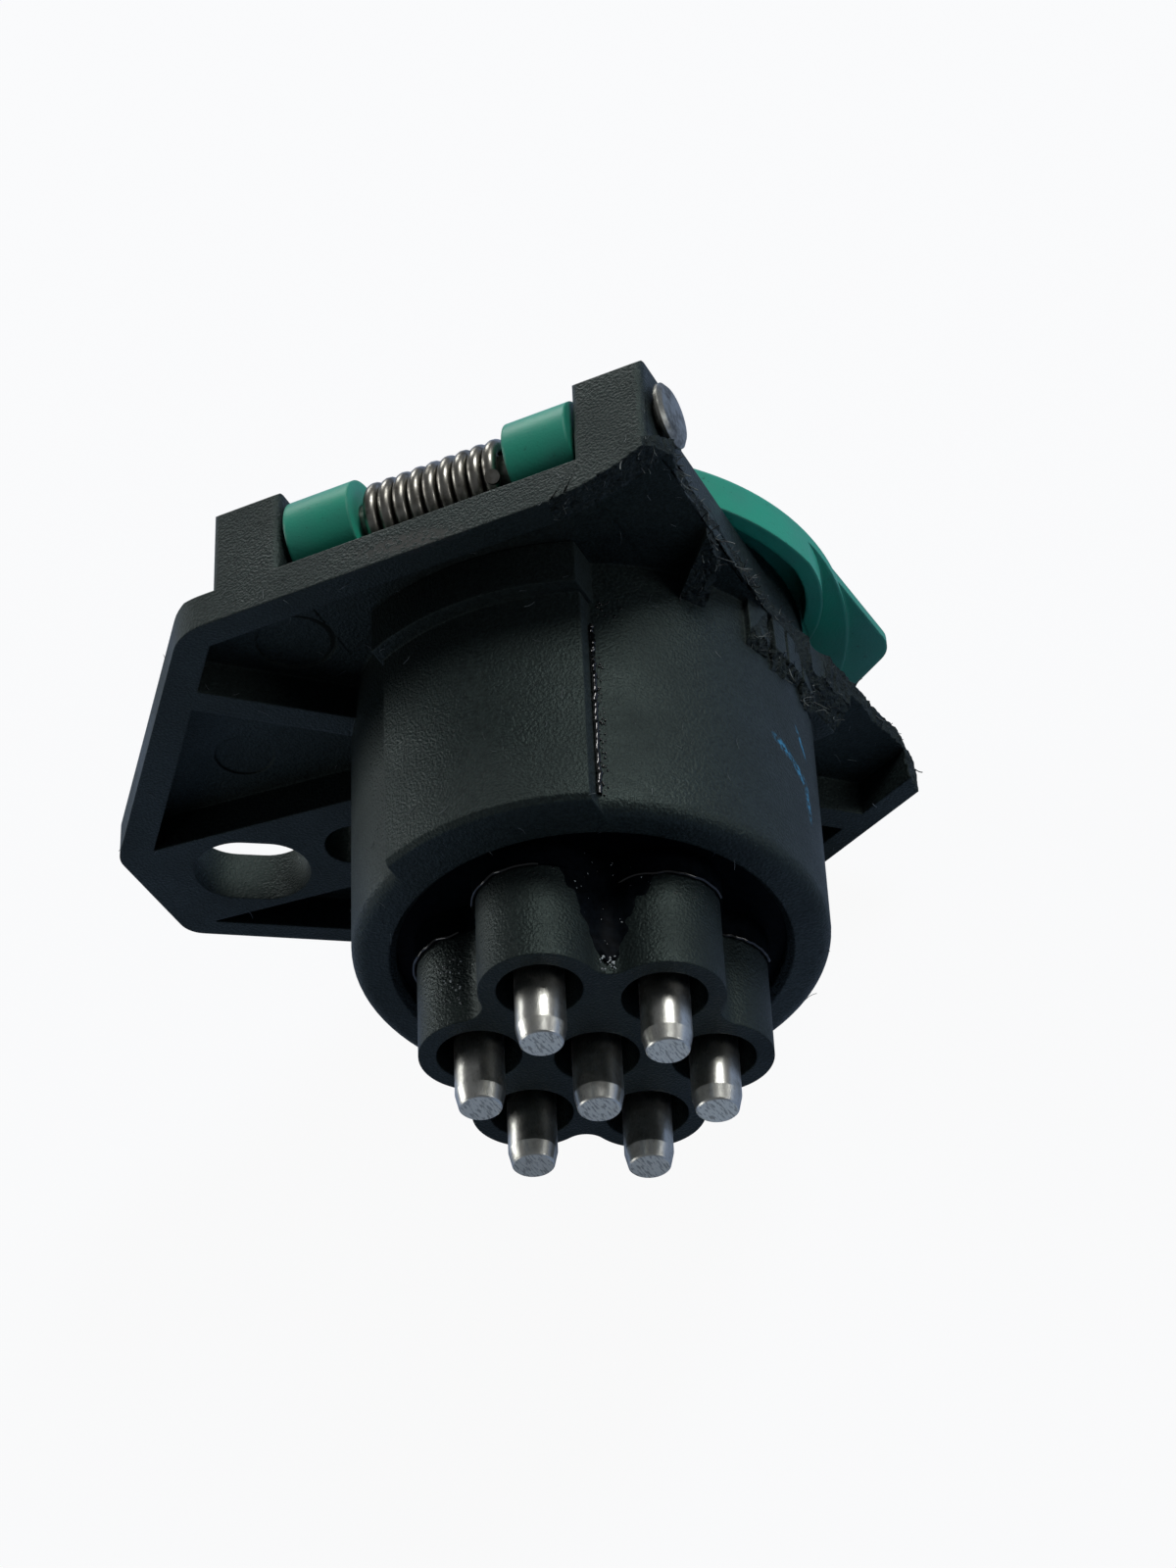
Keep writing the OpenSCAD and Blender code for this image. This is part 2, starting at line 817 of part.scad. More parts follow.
module lid() {
    color(green)
        difference() {
            union() {
                turned()
                    plate_profile();
                along_y(skirt_y, lid_back + eps)
                    hood();
                along_y(lid_front - tab_t, lid_front)
                    tab_outline();
                difference() {
                    union() {
                        along_x(-knuckle_out, knuckle_l_in)
                            knuckle_outline();
                        along_x(knuckle_r_in, knuckle_out)
                            knuckle_outline();
                    }
                    turned()
                        square([skirt_in_r, lid_back + eps]);
                }
            }
            translate([-far, hinge_y, hinge_z])
                rotate([0, 90, 0])
                    cylinder(h = 2 * far, r = hinge_pin_r + hinge_run);
            translate([knuckle_l_in, hinge_y, hinge_z])
                rotate([0, 90, 0])
                    cylinder(h = knuckle_r_in - knuckle_l_in, r = coil_r + wire_d / 2 + coil_clear);
        }
}

module hinge_pin() {
    head_r = hinge_head_d / 2;
    head_x = lug_out + hinge_head_gap;
    color(steel)
        translate([0, hinge_y, hinge_z])
            rotate([0, 90, 0])
                rotate_extrude()
                    polygon([
                        [0, -lug_out - pin_tail],
                        [hinge_pin_r - pin_chamfer, -lug_out - pin_tail],
                        [hinge_pin_r, -lug_out - pin_tail + pin_chamfer],
                        [hinge_pin_r, head_x],
                        [head_r, head_x],
                        [head_r, head_x + hinge_head_t * 0.4],
                        [head_r * 0.85, head_x + hinge_head_t * 0.8],
                        [head_r * 0.5, head_x + hinge_head_t],
                        [0, head_x + hinge_head_t]
                    ]);
}

module spring() {
    color(steel) {
        sweep(concat(coil_path, leg_path), wire_d / 2, wire_sides);
        // The wire's other end, turned out over the last coil
        translate([
            coil_x1 - wire_d / 2,
            hinge_y + coil_r * cos(wire_end_a),
            hinge_z + coil_r * sin(wire_end_a)
        ])
            rotate([41, 0, 27])
                cylinder(h = wire_end_l, d = wire_d);
    }
}

// A round bar swept along a list of points
module sweep(path, r, sides) {
    n = len(path);
    dirs = [for (i = [0:n - 1]) unit(path[min(i + 1, n - 1)] - path[max(i - 1, 0)])];
    points = [for (i = [0:n - 1]) let (
        u = unit(cross(dirs[i], [1, 0.02, 0.01])),
        v = cross(dirs[i], u)
    ) each [for (k = [0:sides - 1]) path[i] + r * (cos(360 * k / sides) * u + sin(360 * k / sides) * v)]];
    walls = [for (i = [0:n - 2], k = [0:sides - 1]) each [
        [i * sides + k, (i + 1) * sides + (k + 1) % sides, i * sides + (k + 1) % sides],
        [i * sides + k, (i + 1) * sides + k, (i + 1) * sides + (k + 1) % sides]
    ]];
    polyhedron(points, concat(
        walls,
        [[for (k = [0:sides - 1]) k], [for (k = [sides - 1:-1:0]) (n - 1) * sides + k]]
    ));
}

housing();
insert();
sealant();
contact(0);  // pin_1
contact(1);  // pin_2
contact(2);  // pin_3
contact(3);  // pin_4
contact(4);  // pin_5
contact(5);  // pin_6
contact(6);  // pin_7
lid();
hinge_pin();
spring();
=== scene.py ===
import math

import bmesh
import bpy
from mathutils import Matrix, Vector, noise


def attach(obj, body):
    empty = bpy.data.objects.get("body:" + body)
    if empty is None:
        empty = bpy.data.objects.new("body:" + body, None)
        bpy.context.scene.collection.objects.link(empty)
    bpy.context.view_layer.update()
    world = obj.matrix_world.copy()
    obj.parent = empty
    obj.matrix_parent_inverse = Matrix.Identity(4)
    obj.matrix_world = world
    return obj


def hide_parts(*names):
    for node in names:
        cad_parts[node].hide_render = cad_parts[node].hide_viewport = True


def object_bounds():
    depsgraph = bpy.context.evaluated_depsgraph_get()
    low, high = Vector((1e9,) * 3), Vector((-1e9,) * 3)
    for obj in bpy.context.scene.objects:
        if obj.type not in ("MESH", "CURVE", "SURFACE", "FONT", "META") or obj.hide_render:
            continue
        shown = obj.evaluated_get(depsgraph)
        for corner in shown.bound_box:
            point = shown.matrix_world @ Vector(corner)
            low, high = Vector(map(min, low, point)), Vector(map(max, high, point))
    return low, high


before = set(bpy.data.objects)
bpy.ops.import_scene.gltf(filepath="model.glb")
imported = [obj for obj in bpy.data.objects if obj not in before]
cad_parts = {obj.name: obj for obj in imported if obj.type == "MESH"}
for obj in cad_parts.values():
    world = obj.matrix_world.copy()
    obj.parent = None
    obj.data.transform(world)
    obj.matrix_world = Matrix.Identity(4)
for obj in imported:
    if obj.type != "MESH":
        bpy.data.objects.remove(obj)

cad_box = [list(corner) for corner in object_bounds()]


# ---------------------------------------------------------------- camera
# The photograph was taken from behind and above, with a long lens: the rear
# contacts point at the camera and the hinge runs up to the right.
VIEW_RIGHT = Vector((0.89997, -0.03861, -0.43423))
VIEW_DOWN = Vector((-0.29895, -0.77964, -0.55026))
VIEW_FORWARD = Vector((-0.31730, 0.62504, -0.71320))
VIEW_FROM = Vector((0.12351, -0.24712, 0.27658))
SENSOR_MM = 36
FOCAL_MM = 119.48
NEAREST, FARTHEST = 0.01, 20


def in_scene(name, data):
    """A new object in the scene."""
    body = bpy.data.objects.new(name, data)
    bpy.context.scene.collection.objects.link(body)
    return body


lens = bpy.data.cameras.new("photo_lens")
lens.sensor_fit = "HORIZONTAL"
lens.sensor_width = SENSOR_MM
lens.lens = FOCAL_MM
lens.clip_start = NEAREST
lens.clip_end = FARTHEST
camera = in_scene("photo_camera", lens)
view_turn = Matrix((VIEW_RIGHT, -VIEW_DOWN, -VIEW_FORWARD)).transposed().to_4x4()
camera.matrix_world = Matrix.Translation(VIEW_FROM) @ view_turn
bpy.context.scene.camera = camera
bpy.context.scene.view_settings.view_transform = "Standard"


# ---------------------------------------------------------------- floor and light
# A plain pale floor under the flange's bottom edge, and five soft boxes round
# the object. Background and floor read white to the camera and in the metal,
# and the floor throws a faint blue light up and keeps the object's shadow.
FLOOR_GAP = 0.0001
FLOOR_R = 3
FLOOR_WHITE, FLOOR_WHITE_IN_MIRRORS = 0.94, 0.04
ROOM_WHITE, ROOM_WHITE_IN_MIRRORS = 1.0, 0.12
ROOM_LIGHT = 0.045


def linear(code):
    """An sRGB hex colour as linear red, green and blue, with alpha."""
    parts = [int(code[i : i + 2], 16) / 255 for i in (1, 3, 5)]
    return [p / 12.92 if p <= 0.04045 else ((p + 0.055) / 1.055) ** 2.4 for p in parts] + [1.0]


def add(tree, kind, inputs=None, **settings):
    """Adds a node with its settings; an input is a value or the socket that feeds it."""
    node = tree.nodes.new(kind)
    for name, value in settings.items():
        setattr(node, name, value)
    for name, value in (inputs or {}).items():
        if isinstance(value, bpy.types.NodeSocket):
            tree.links.new(value, node.inputs[name])
        else:
            node.inputs[name].default_value = value
    return node


def new_material(name):
    """A material with an empty node tree."""
    material = bpy.data.materials.new(name)
    material.use_nodes = True
    material.node_tree.nodes.clear()
    return material, material.node_tree


def whiteness(tree, to_camera, in_mirrors):
    """How white a surface is to this ray: one share for the camera, one for gloss and glass."""
    path = add(tree, "ShaderNodeLightPath").outputs
    straight = add(
        tree, "ShaderNodeMath", {0: path["Is Camera Ray"], 1: to_camera}, operation="MULTIPLY"
    )
    bounced = add(
        tree,
        "ShaderNodeMath",
        {0: path["Is Glossy Ray"], 1: path["Is Transmission Ray"]},
        operation="MAXIMUM",
    )
    mirrored = add(
        tree, "ShaderNodeMath", {0: bounced.outputs[0], 1: in_mirrors}, operation="MULTIPLY"
    )
    either = add(
        tree,
        "ShaderNodeMath",
        {0: straight.outputs[0], 1: mirrored.outputs[0]},
        operation="MAXIMUM",
    )
    return either.outputs[0]


floor_shape = bmesh.new()
bmesh.ops.create_circle(floor_shape, cap_ends=True, segments=96, radius=FLOOR_R)
floor_z = cad_box[0][2] - FLOOR_GAP
bmesh.ops.translate(floor_shape, verts=floor_shape.verts, vec=(0, 0, floor_z))
floor_mesh = bpy.data.meshes.new("floor")
floor_shape.to_mesh(floor_mesh)
floor_shape.free()
floor = in_scene("floor", floor_mesh)
floor_paint, tree = new_material("matt_white_floor")
lit = add(tree, "ShaderNodeBsdfDiffuse", {"Color": linear("#a6bce2")})
white = add(tree, "ShaderNodeEmission", {"Color": linear("#ffffff"), "Strength": 1.0})
share = whiteness(tree, FLOOR_WHITE, FLOOR_WHITE_IN_MIRRORS)
seen = add(tree, "ShaderNodeMixShader", {0: share, 1: lit.outputs[0], 2: white.outputs[0]})
add(tree, "ShaderNodeOutputMaterial", {"Surface": seen.outputs[0]})
floor_mesh.materials.append(floor_paint)

world = bpy.data.worlds.new("studio")
bpy.context.scene.world = world
world.use_nodes = True
tree = world.node_tree
tree.nodes.clear()
lit = add(tree, "ShaderNodeBackground", {"Color": linear("#a9bfe6"), "Strength": ROOM_LIGHT})
white = add(tree, "ShaderNodeBackground", {"Color": linear("#ffffff"), "Strength": 1.0})
share = whiteness(tree, ROOM_WHITE, ROOM_WHITE_IN_MIRRORS)
seen = add(tree, "ShaderNodeMixShader", {0: share, 1: lit.outputs[0], 2: white.outputs[0]})
add(tree, "ShaderNodeOutputWorld", {"Surface": seen.outputs[0]})

# each soft box: its place and width in metres, and its power in watts
for name, place, width, power in (
    ("right_box", (0.57, 0.47, 0.68), 0.36, 5.0),
    ("left_box", (-0.88, 0.34, 0.36), 0.42, 3.0),
    ("front_box", (-0.20, 0.92, 0.34), 0.42, 2.4),
    ("side_box", (0.94, -0.14, 0.18), 0.4, 1.6),
    ("rear_box", (-0.84, -0.58, 0.20), 0.4, 1.1),
):
    lamp = bpy.data.lights.new(name, "AREA")
    lamp.shape = "DISK"
    lamp.size = width
    lamp.energy = power
    facing = Vector(place).to_track_quat("Z", "Y").to_matrix().to_4x4()
    in_scene(name, lamp).matrix_world = Matrix.Translation(place) @ facing


# ---------------------------------------------------------------- housing
# The barrel, flange and hinge lugs are one moulding of black glass-filled
# nylon, with slightly rounded edges. Where the right ear broke off, the wall
# is torn and fibrous.
MM_PER_M = 1000
# the moulded grain is 0.1 mm, drawn at 0.28 mm so that it shows
GRAIN_MM = 0.28
DUST_MM = 0.9
PATCH_MM = 9.0
PAINT_BREAK_MM = 0.45
SCUFF_BREAK_MM = 0.6
TORN_STRANDS_MM = 0.55
TORN_CRUMBS_MM = 0.3
# the ejector mark whose crescent is painted shade: half sizes in mm, then how sharp its edge is
SHADED_MARK_MM = (3.95, 1.5, 3.95)
SHADED_MARK_CORE = 0.91875
EDGE_ROUND = 0.0003
NYLON_IOR = 1.5
NYLON_TINT = "#e3fff5"


def in_mm(tree):
    """The spot on the piece, in mm."""
    place = add(tree, "ShaderNodeTexCoord")
    spot = add(
        tree,
        "ShaderNodeVectorMath",
        {0: place.outputs["Object"], "Scale": MM_PER_M},
        operation="SCALE",
    )
    return spot.outputs[0]


def speckle(tree, at, size_mm, detail=2.0, rough=0.5, low=0.0, high=1.0):
    """A noise pattern of one real size, stretched from low to high."""
    grain = add(
        tree,
        "ShaderNodeTexNoise",
        {"Vector": at, "Scale": 1 / size_mm, "Detail": detail, "Roughness": rough},
    )
    contrast = {"Value": grain.outputs["Fac"], "From Min": low, "From Max": high}
    return add(tree, "ShaderNodeMapRange", contrast).outputs[0]


def stained(tree, colour, pattern, stain, share=1.0):
    """A colour with a stain laid over it where a pattern is, up to a share."""
    if share < 1:
        part = add(tree, "ShaderNodeMath", {0: pattern, 1: share}, operation="MULTIPLY")
        pattern = part.outputs[0]
    mix = add(tree, "ShaderNodeMix", {0: pattern, 6: colour, 7: stain}, data_type="RGBA")
    return mix.outputs[2]


def spot_mask(tree, at, middle, half_sizes, turn=(0, 0, 0), core=0.35):
    """1 in the core of an ellipsoid in mm, with its turn in degrees, and 0 outside it."""
    local = add(
        tree,
        "ShaderNodeMapping",
        {
            "Vector": at,
            "Location": middle,
            "Rotation": [math.radians(a) for a in turn],
            "Scale": half_sizes,
        },
        vector_type="TEXTURE",
    )
    reach = add(tree, "ShaderNodeVectorMath", {0: local.outputs[0]}, operation="LENGTH")
    fade = {"Value": reach.outputs["Value"], "From Min": 1.0, "From Max": core}
    return add(tree, "ShaderNodeMapRange", fade).outputs[0]


def surface(tree, looks):
    """Ends a material in the shader that has these looks."""
    shader = add(tree, "ShaderNodeBsdfPrincipled", looks)
    add(tree, "ShaderNodeOutputMaterial", {"Surface": shader.outputs[0]})


# Moulded nylon: near black, with a matt grain that holds grey dust.
nylon, tree = new_material("moulded_black_nylon")
at = in_mm(tree)
grain = speckle(tree, at, GRAIN_MM, low=0.35, high=0.7)
dust = speckle(tree, at, DUST_MM, detail=4.0, low=0.42, high=0.75)
patch = speckle(tree, at, PATCH_MM, detail=3.0, low=0.35, high=0.7)
colour = stained(tree, linear("#0c1011"), grain, linear("#242d2d"))
colour = stained(tree, colour, dust, linear("#2b3532"), 0.35)
colour = stained(tree, colour, patch, linear("#15191b"), 0.45)
# streaks of blue paint on the right of the barrel, one running into the next
streaks = [
    spot_mask(tree, at, middle, half_sizes, turn)
    for middle, half_sizes, turn in (
        ((22.76, -11.36, 3.67), (1.2, 2.2, 0.7), (-108.5, -9.2, 0)),
        ((23.03, -12.61, 0.61), (1.2, 2.6, 0.75), (-115, -1.5, 0)),
        ((23.08, -15.14, -0.96), (1.2, 2.6, 0.7), (-172.2, 2.4, 0)),
        ((23.08, -8.08, -0.36), (1.2, 2.2, 0.4), (-142.5, 0.9, 0)),
    )
]
painted = streaks[0]
for streak in streaks[1:]:
    joined = add(tree, "ShaderNodeMath", {0: painted, 1: streak}, operation="MAXIMUM")
    painted = joined.outputs[0]
paint_break = speckle(tree, at, PAINT_BREAK_MM, detail=5.0, low=0.42, high=0.54)
paint = add(tree, "ShaderNodeMath", {0: painted, 1: paint_break}, operation="MULTIPLY")
colour = stained(tree, colour, paint.outputs[0], linear("#357fa5"), 0.95)
# the scuff on the flange's top edge below the spring
scuff_area = spot_mask(tree, at, (-1.8, 1.3, 34.2), (7.0, 1.5, 1.4), (0, 0, -8))
scuff_break = speckle(tree, at, SCUFF_BREAK_MM, detail=5.0, low=0.42, high=0.55)
scuff = add(tree, "ShaderNodeMath", {0: scuff_area, 1: scuff_break}, operation="MULTIPLY")
colour = stained(tree, colour, scuff.outputs[0], linear("#4f4644"), 0.5)
# painted shade: a near-black, matt crescent in the ejector mark of the upper left pocket, where the
# rim shades the recess
mark_area = spot_mask(tree, at, (-19.5, 4.2, 23.7), SHADED_MARK_MM, core=SHADED_MARK_CORE)
mark_unshaded = spot_mask(tree, at, (-20.0, 4.2, 23.6), SHADED_MARK_MM, core=SHADED_MARK_CORE)
shaded_crescent = add(
    tree, "ShaderNodeMath", {0: mark_area, 1: mark_unshaded}, operation="SUBTRACT", use_clamp=True
)
# painted shade: the crescent is coloured near black
colour = stained(tree, colour, shaded_crescent.outputs[0], linear("#030507"))
shine = add(tree, "ShaderNodeMapRange", {"Value": patch, "To Min": 0.44, "To Max": 0.6})
roughness = add(
    tree,
    "ShaderNodeMath",
    {0: shine.outputs[0], 1: shaded_crescent.outputs[0]},
    operation="ADD",
    use_clamp=True,
)
rounded = add(tree, "ShaderNodeBevel", {"Radius": EDGE_ROUND}, samples=4)
height = add(
    tree, "ShaderNodeMath", {0: grain, 1: scuff.outputs[0]}, operation="SUBTRACT", use_clamp=True
)
bump = add(
    tree,
    "ShaderNodeBump",
    {
        "Height": height.outputs[0],
        "Strength": 0.8,
        "Distance": 0.00006,
        "Normal": rounded.outputs[0],
    },
)
surface(
    tree,
    {
        "Base Color": colour,
        "Roughness": roughness.outputs[0],
        "IOR": NYLON_IOR,
        "Specular IOR Level": 0.36,
        "Specular Tint": linear(NYLON_TINT),
        "Normal": bump.outputs[0],
    },
)

# Torn nylon: dull and dark in the hollows, pale where glass fibres stand out.
torn_nylon, tree = new_material("torn_black_nylon")
at = in_mm(tree)
strands_at = add(
    tree, "ShaderNodeMapping", {"Vector": at, "Rotation": (0.4, 0.2, 0.3), "Scale": (1.0, 4.0, 1.6)}
)
strands = speckle(
    tree, strands_at.outputs[0], TORN_STRANDS_MM, detail=6.0, rough=0.65, low=0.5, high=0.75
)
crumbs = speckle(tree, at, TORN_CRUMBS_MM, detail=4.0, low=0.35, high=0.7)
colour = stained(tree, linear("#0c1012"), crumbs, linear("#1c2326"))
colour = stained(tree, colour, strands, linear("#565e5e"), 0.6)
bump = add(tree, "ShaderNodeBump", {"Height": strands, "Strength": 0.8, "Distance": 0.00015})
surface(
    tree,
    {
        "Base Color": colour,
        "Roughness": 0.7,
        "IOR": NYLON_IOR,
        "Specular IOR Level": 0.28,
        "Specular Tint": linear(NYLON_TINT),
        "Normal": bump.outputs[0],
    },
)

BARREL_R = 23.1
FLANGE_FRONT = 5.8
# The fracture's course from the top down: height, then distance from the plug
# axis in the rear and in the front face, in mm.
fracture_rows = [
    (80, 22.5, 22.5), (34.4, 22.5, 22.5), (33.2, 23.6, 23.8), (30.5, 24.0, 24.5),
    (27.5, 22.6, 23.6), (24, 22.1, 23.3), (20, 22.5, 23.4), (16.5, 21.8, 23.2),
    (12.5, 22.4, 23.4), (8, 22.4, 23.3), (3.6, 22.9, 23.7), (0, 23.3, 24.2),
    (-2, 24.3, 24.9), (-6.5, 24.5, 25.4), (-10, 25.4, 25.7), (-14.4, 25.4, 26.2),
    (-17.5, 26.7, 26.5), (-20, 27.4, 26.8), (-80, 29.6, 27.2),
]
FRACTURE_REAR = -1
FRACTURE_DEPTH = 7.8
# The torn ends of the pocket's top rim, upper rib and lower bar: depth against
# distance out, in mm.
rim_tear = [(12.6, 0), (15.5, 0.25), (18, 1), (20, 1.6), (22.5, 2.6), (24.5, 3.5), (27, 3.8)]
rib_tear = [(20.8, 0.23), (24.5, 1.39), (26.6, 2.19), (32.3, 3.23)]
bar_tear = [(22.2, 0.23), (23.3, 1.5), (24, 2.54), (32.3, 3.7)]
# each tear's rise over the horizontal in degrees, then where it ends, in mm:
# lowest x, distance out, depth and height
tear_ends = (
    (rim_tear, 0, 12.6, (12.6, 25), (0.01, 8), (31.15, 40)),
    (rib_tear, 42.8, 15, (23, 31), (0.2, 4), (8, 40)),
    (bar_tear, 6, 0, (22.2, 31), (0.2, 4), (-14, 5)),
)
# the scar behind the flange, where the ear's root tore off the barrel
SCAR_PROUD = 1
SCAR_ANGLES = (-14.5, 22)
SCAR_DEPTHS = (-2.5, -0.01)
ON_WALL, ON_TEAR = 0.12, 0.06
SLACK = 0.05


def between(rows, x, column):
    """Reads a column of rows at x, on a straight line between neighbours."""
    for one, two in zip(rows, rows[1:]):
        low, high = sorted((one[0], two[0]))
        if low <= x <= high:
            return one[column] + (two[column] - one[column]) * (x - one[0]) / (two[0] - one[0])
    return rows[-1][column]


def is_torn(middle):
    """Whether a face of the solid, by its middle in mm, lies in the fracture."""
    x, y, z = middle
    across = (y - FRACTURE_REAR) / FRACTURE_DEPTH
    wall = between(fracture_rows, z, 1) * (1 - across) + between(fracture_rows, z, 2) * across
    if -SLACK < y < FLANGE_FRONT + SLACK and abs(x - wall) < ON_WALL:
        return True
    for profile, rise, lowest_x, outs, depths, heights in tear_ends:
        turn = math.radians(rise)
        out = x * math.cos(turn) + z * math.sin(turn)
        in_reach = x > lowest_x and outs[0] < out < outs[1]
        in_reach = in_reach and depths[0] < y < depths[1] and heights[0] < z < heights[1]
        if in_reach and abs(y - between(profile, out, 1)) < ON_TEAR:
            return True
    radius, angle = math.hypot(x, z), math.degrees(math.atan2(z, x))
    on_scar = SCAR_ANGLES[0] < angle < SCAR_ANGLES[1] and SCAR_DEPTHS[0] < y < SCAR_DEPTHS[1]
    return on_scar and BARREL_R + SLACK < radius < BARREL_R + SCAR_PROUD


def made_plain(source, name):
    """The evaluated mesh of an object as a piece of its own; the source goes."""
    bpy.context.view_layer.update()
    ready = source.evaluated_get(bpy.context.evaluated_depsgraph_get())
    mesh = bpy.data.meshes.new_from_object(ready)
    mesh.name = name
    piece = in_scene(name, mesh)
    bpy.data.objects.remove(source)
    return piece


def object_of(name, shape):
    """A new object from a mesh in the making."""
    mesh = bpy.data.meshes.new(name)
    shape.to_mesh(mesh)
    shape.free()
    return in_scene(name, mesh)


# In the solid the web behind a lug stands a little proud of the pocket's floor,
# over the ejector mark. Here it is flush, and the mark is whole.
POCKET_FLOOR = 0.0041
WEB_REAR = 0.00394
WEB_FROM, WEB_TO = 0.0156, 0.0232
WEB_TOP = 0.0268
SAME_FACE = 1e-5
SAME_POINT = 2e-7
SLIVER = 5e-7
MARK = Vector((-0.0195, POCKET_FLOOR, 0.0237))
MARK_R = 0.00395
MARK_DEPTH = 0.00022
shape = bmesh.new()
shape.from_mesh(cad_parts["housing"].data)
bmesh.ops.remove_doubles(shape, verts=shape.verts, dist=SAME_POINT)
for vertex in shape.verts:
    x, y, z = vertex.co
    if abs(y - WEB_REAR) < SAME_FACE and WEB_FROM < abs(x) < WEB_TO and z < WEB_TOP:
        vertex.co.y = POCKET_FLOOR
bmesh.ops.remove_doubles(shape, verts=shape.verts, dist=SAME_POINT)
bmesh.ops.dissolve_degenerate(shape, edges=shape.edges, dist=SLIVER)
flush_housing = object_of("flush_housing", shape)
shape = bmesh.new()
bmesh.ops.create_cone(
    shape,
    cap_ends=True,
    segments=64,
    radius1=MARK_R,
    radius2=MARK_R,
    depth=2 * MARK_DEPTH,
    matrix=Matrix.Translation(MARK) @ Matrix.Rotation(math.pi / 2, 4, "X"),
)
mark_cutter = object_of("mark_cutter", shape)
cut = flush_housing.modifiers.new("mark", "BOOLEAN")
cut.object = mark_cutter
cut.operation = "DIFFERENCE"
cut.solver = "EXACT"
whole = made_plain(flush_housing, "whole_housing")
bpy.data.objects.remove(mark_cutter)

# The torn faces are split until they are fine enough to be roughened: in lumps
# and strands all over, and more at the lip, the last of the rear face to part.
MOULDED, TORN = 0, 1
SPLIT_OVER = (0.0032, 0.0016, 0.0008, 0.0004)
LUMPS_PER_MM, LUMP_MM = 0.8, 0.2
STRANDS_PER_MM, STRAND_MM = (3.0, 1.1, 3.0), 0.2
LIPS_PER_MM, LIP_MM, LIP_DEPTH = 1.4, 0.35, 0.2
SHARPEST_SMOOTH = math.radians(28)


def shove(spot, octaves):
    """Noise in three directions; mathutils' own vector noise differs from run to run."""
    shifts = (Vector((9.3, -1.5, -8.0)), Vector((0, 0, 0)), Vector((6.3, 11.1, -3.0)))
    return Vector([noise.turbulence(spot + shift, octaves, False) for shift in shifts])


shape = bmesh.new()
shape.from_mesh(whole.data)
bpy.data.objects.remove(whole)
for face in shape.faces:
    torn = is_torn(face.calc_center_median() * MM_PER_M)
    face.material_index = TORN if torn else MOULDED
for longest in SPLIT_OVER:
    edges = [
        edge
        for edge in shape.edges
        if edge.calc_length() > longest and any(f.material_index == TORN for f in edge.link_faces)
    ]
    bmesh.ops.subdivide_edges(shape, edges=edges, cuts=1, use_grid_fill=False)
    bmesh.ops.triangulate(shape, faces=[f for f in shape.faces if len(f.verts) > 3])
shape.normal_update()
moves = {}
for vertex in shape.verts:
    if not any(face.material_index == TORN for face in vertex.link_faces):
        continue
    at_mm = vertex.co * MM_PER_M
    push = shove(at_mm * LUMPS_PER_MM, octaves=4) * LUMP_MM
    along_strands = Vector([place * waves for place, waves in zip(at_mm, STRANDS_PER_MM)])
    push += shove(along_strands, octaves=1) * STRAND_MM
    if at_mm.y < LIP_DEPTH:
        push += shove(at_mm * LIPS_PER_MM, octaves=3) * LIP_MM
    for face in vertex.link_faces:
        if face.material_index == MOULDED:
            push -= face.normal * push.dot(face.normal)
    moves[vertex] = push / MM_PER_M
for vertex, push in moves.items():
    vertex.co += push
for face in shape.faces:
    face.smooth = face.material_index == MOULDED
for edge in shape.edges:
    edge.smooth = len(edge.link_faces) == 2 and edge.calc_face_angle(0) < SHARPEST_SMOOTH


TUFTS_OVER, TUFTS_BEFORE = 0.004, 0.0022
LINT_OVER = 0.01
LINT_TILT = 0.3


def host_of(name, faces):
    """A loose copy of some faces, for small things to be scattered on."""
    patch = bmesh.new()
    for face in faces:
        patch.faces.new([patch.verts.new(v.co) for v in face.verts])
    return object_of(name, patch)


def bears_tufts(middle):
    """Tufts stand along the lip, and in the front half of the fracture's upper part."""
    on_lip = middle.y < LIP_DEPTH / MM_PER_M
    return on_lip or (middle.z > TUFTS_OVER and middle.y > TUFTS_BEFORE)


def catches_lint(face):
    """Lint has settled on the upper half of what looks up."""
    return face.normal.z > LINT_TILT and face.calc_center_median().z > LINT_OVER


torn_faces = [f for f in shape.faces if f.material_index == TORN]
moulded_faces = [f for f in shape.faces if f.material_index == MOULDED]
tufted_faces = [f for f in torn_faces if bears_tufts(f.calc_center_median())]
rear_faces = [f for f in moulded_faces if f.normal.y < -LINT_TILT]
torn_host = host_of("torn_host", torn_faces)
torn_front_host = host_of("torn_front_host", tufted_faces)
rear_host = host_of("rear_host", rear_faces)
upper_host = host_of("upper_host", [f for f in moulded_faces if catches_lint(f)])
housing = object_of("torn_housing", shape)
housing.data.materials.append(nylon)
housing.data.materials.append(torn_nylon)
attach(housing, "socket")
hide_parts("housing")


# ---------------------------------------------------------------- fibres
# Where the nylon tore, strands of it and of its glass filling stand out of the
# fracture. Short pale lint has settled on the rough moulding round it.
PER_CM2 = 1e4
SMALLEST, LARGEST = 0.45, 1.3
FIBRE_SIDES, FIBRE_STEPS = 5, 6
FIBRE_RISES = (0.45, 0.28, 0.9)
ROOT_DEPTH = 0.0001
STRAND_TONE_MM = 1.3
LINT_TONE_MM = 2.0


def run_tree(source, tree, sockets, values):
    """Gives an object a Geometry Nodes tree with its input values."""
    modifier = source.modifiers.new(tree.name, "NODES")
    modifier.node_group = tree
    for socket, value in zip(sockets, values):
        modifier[socket.identifier] = value


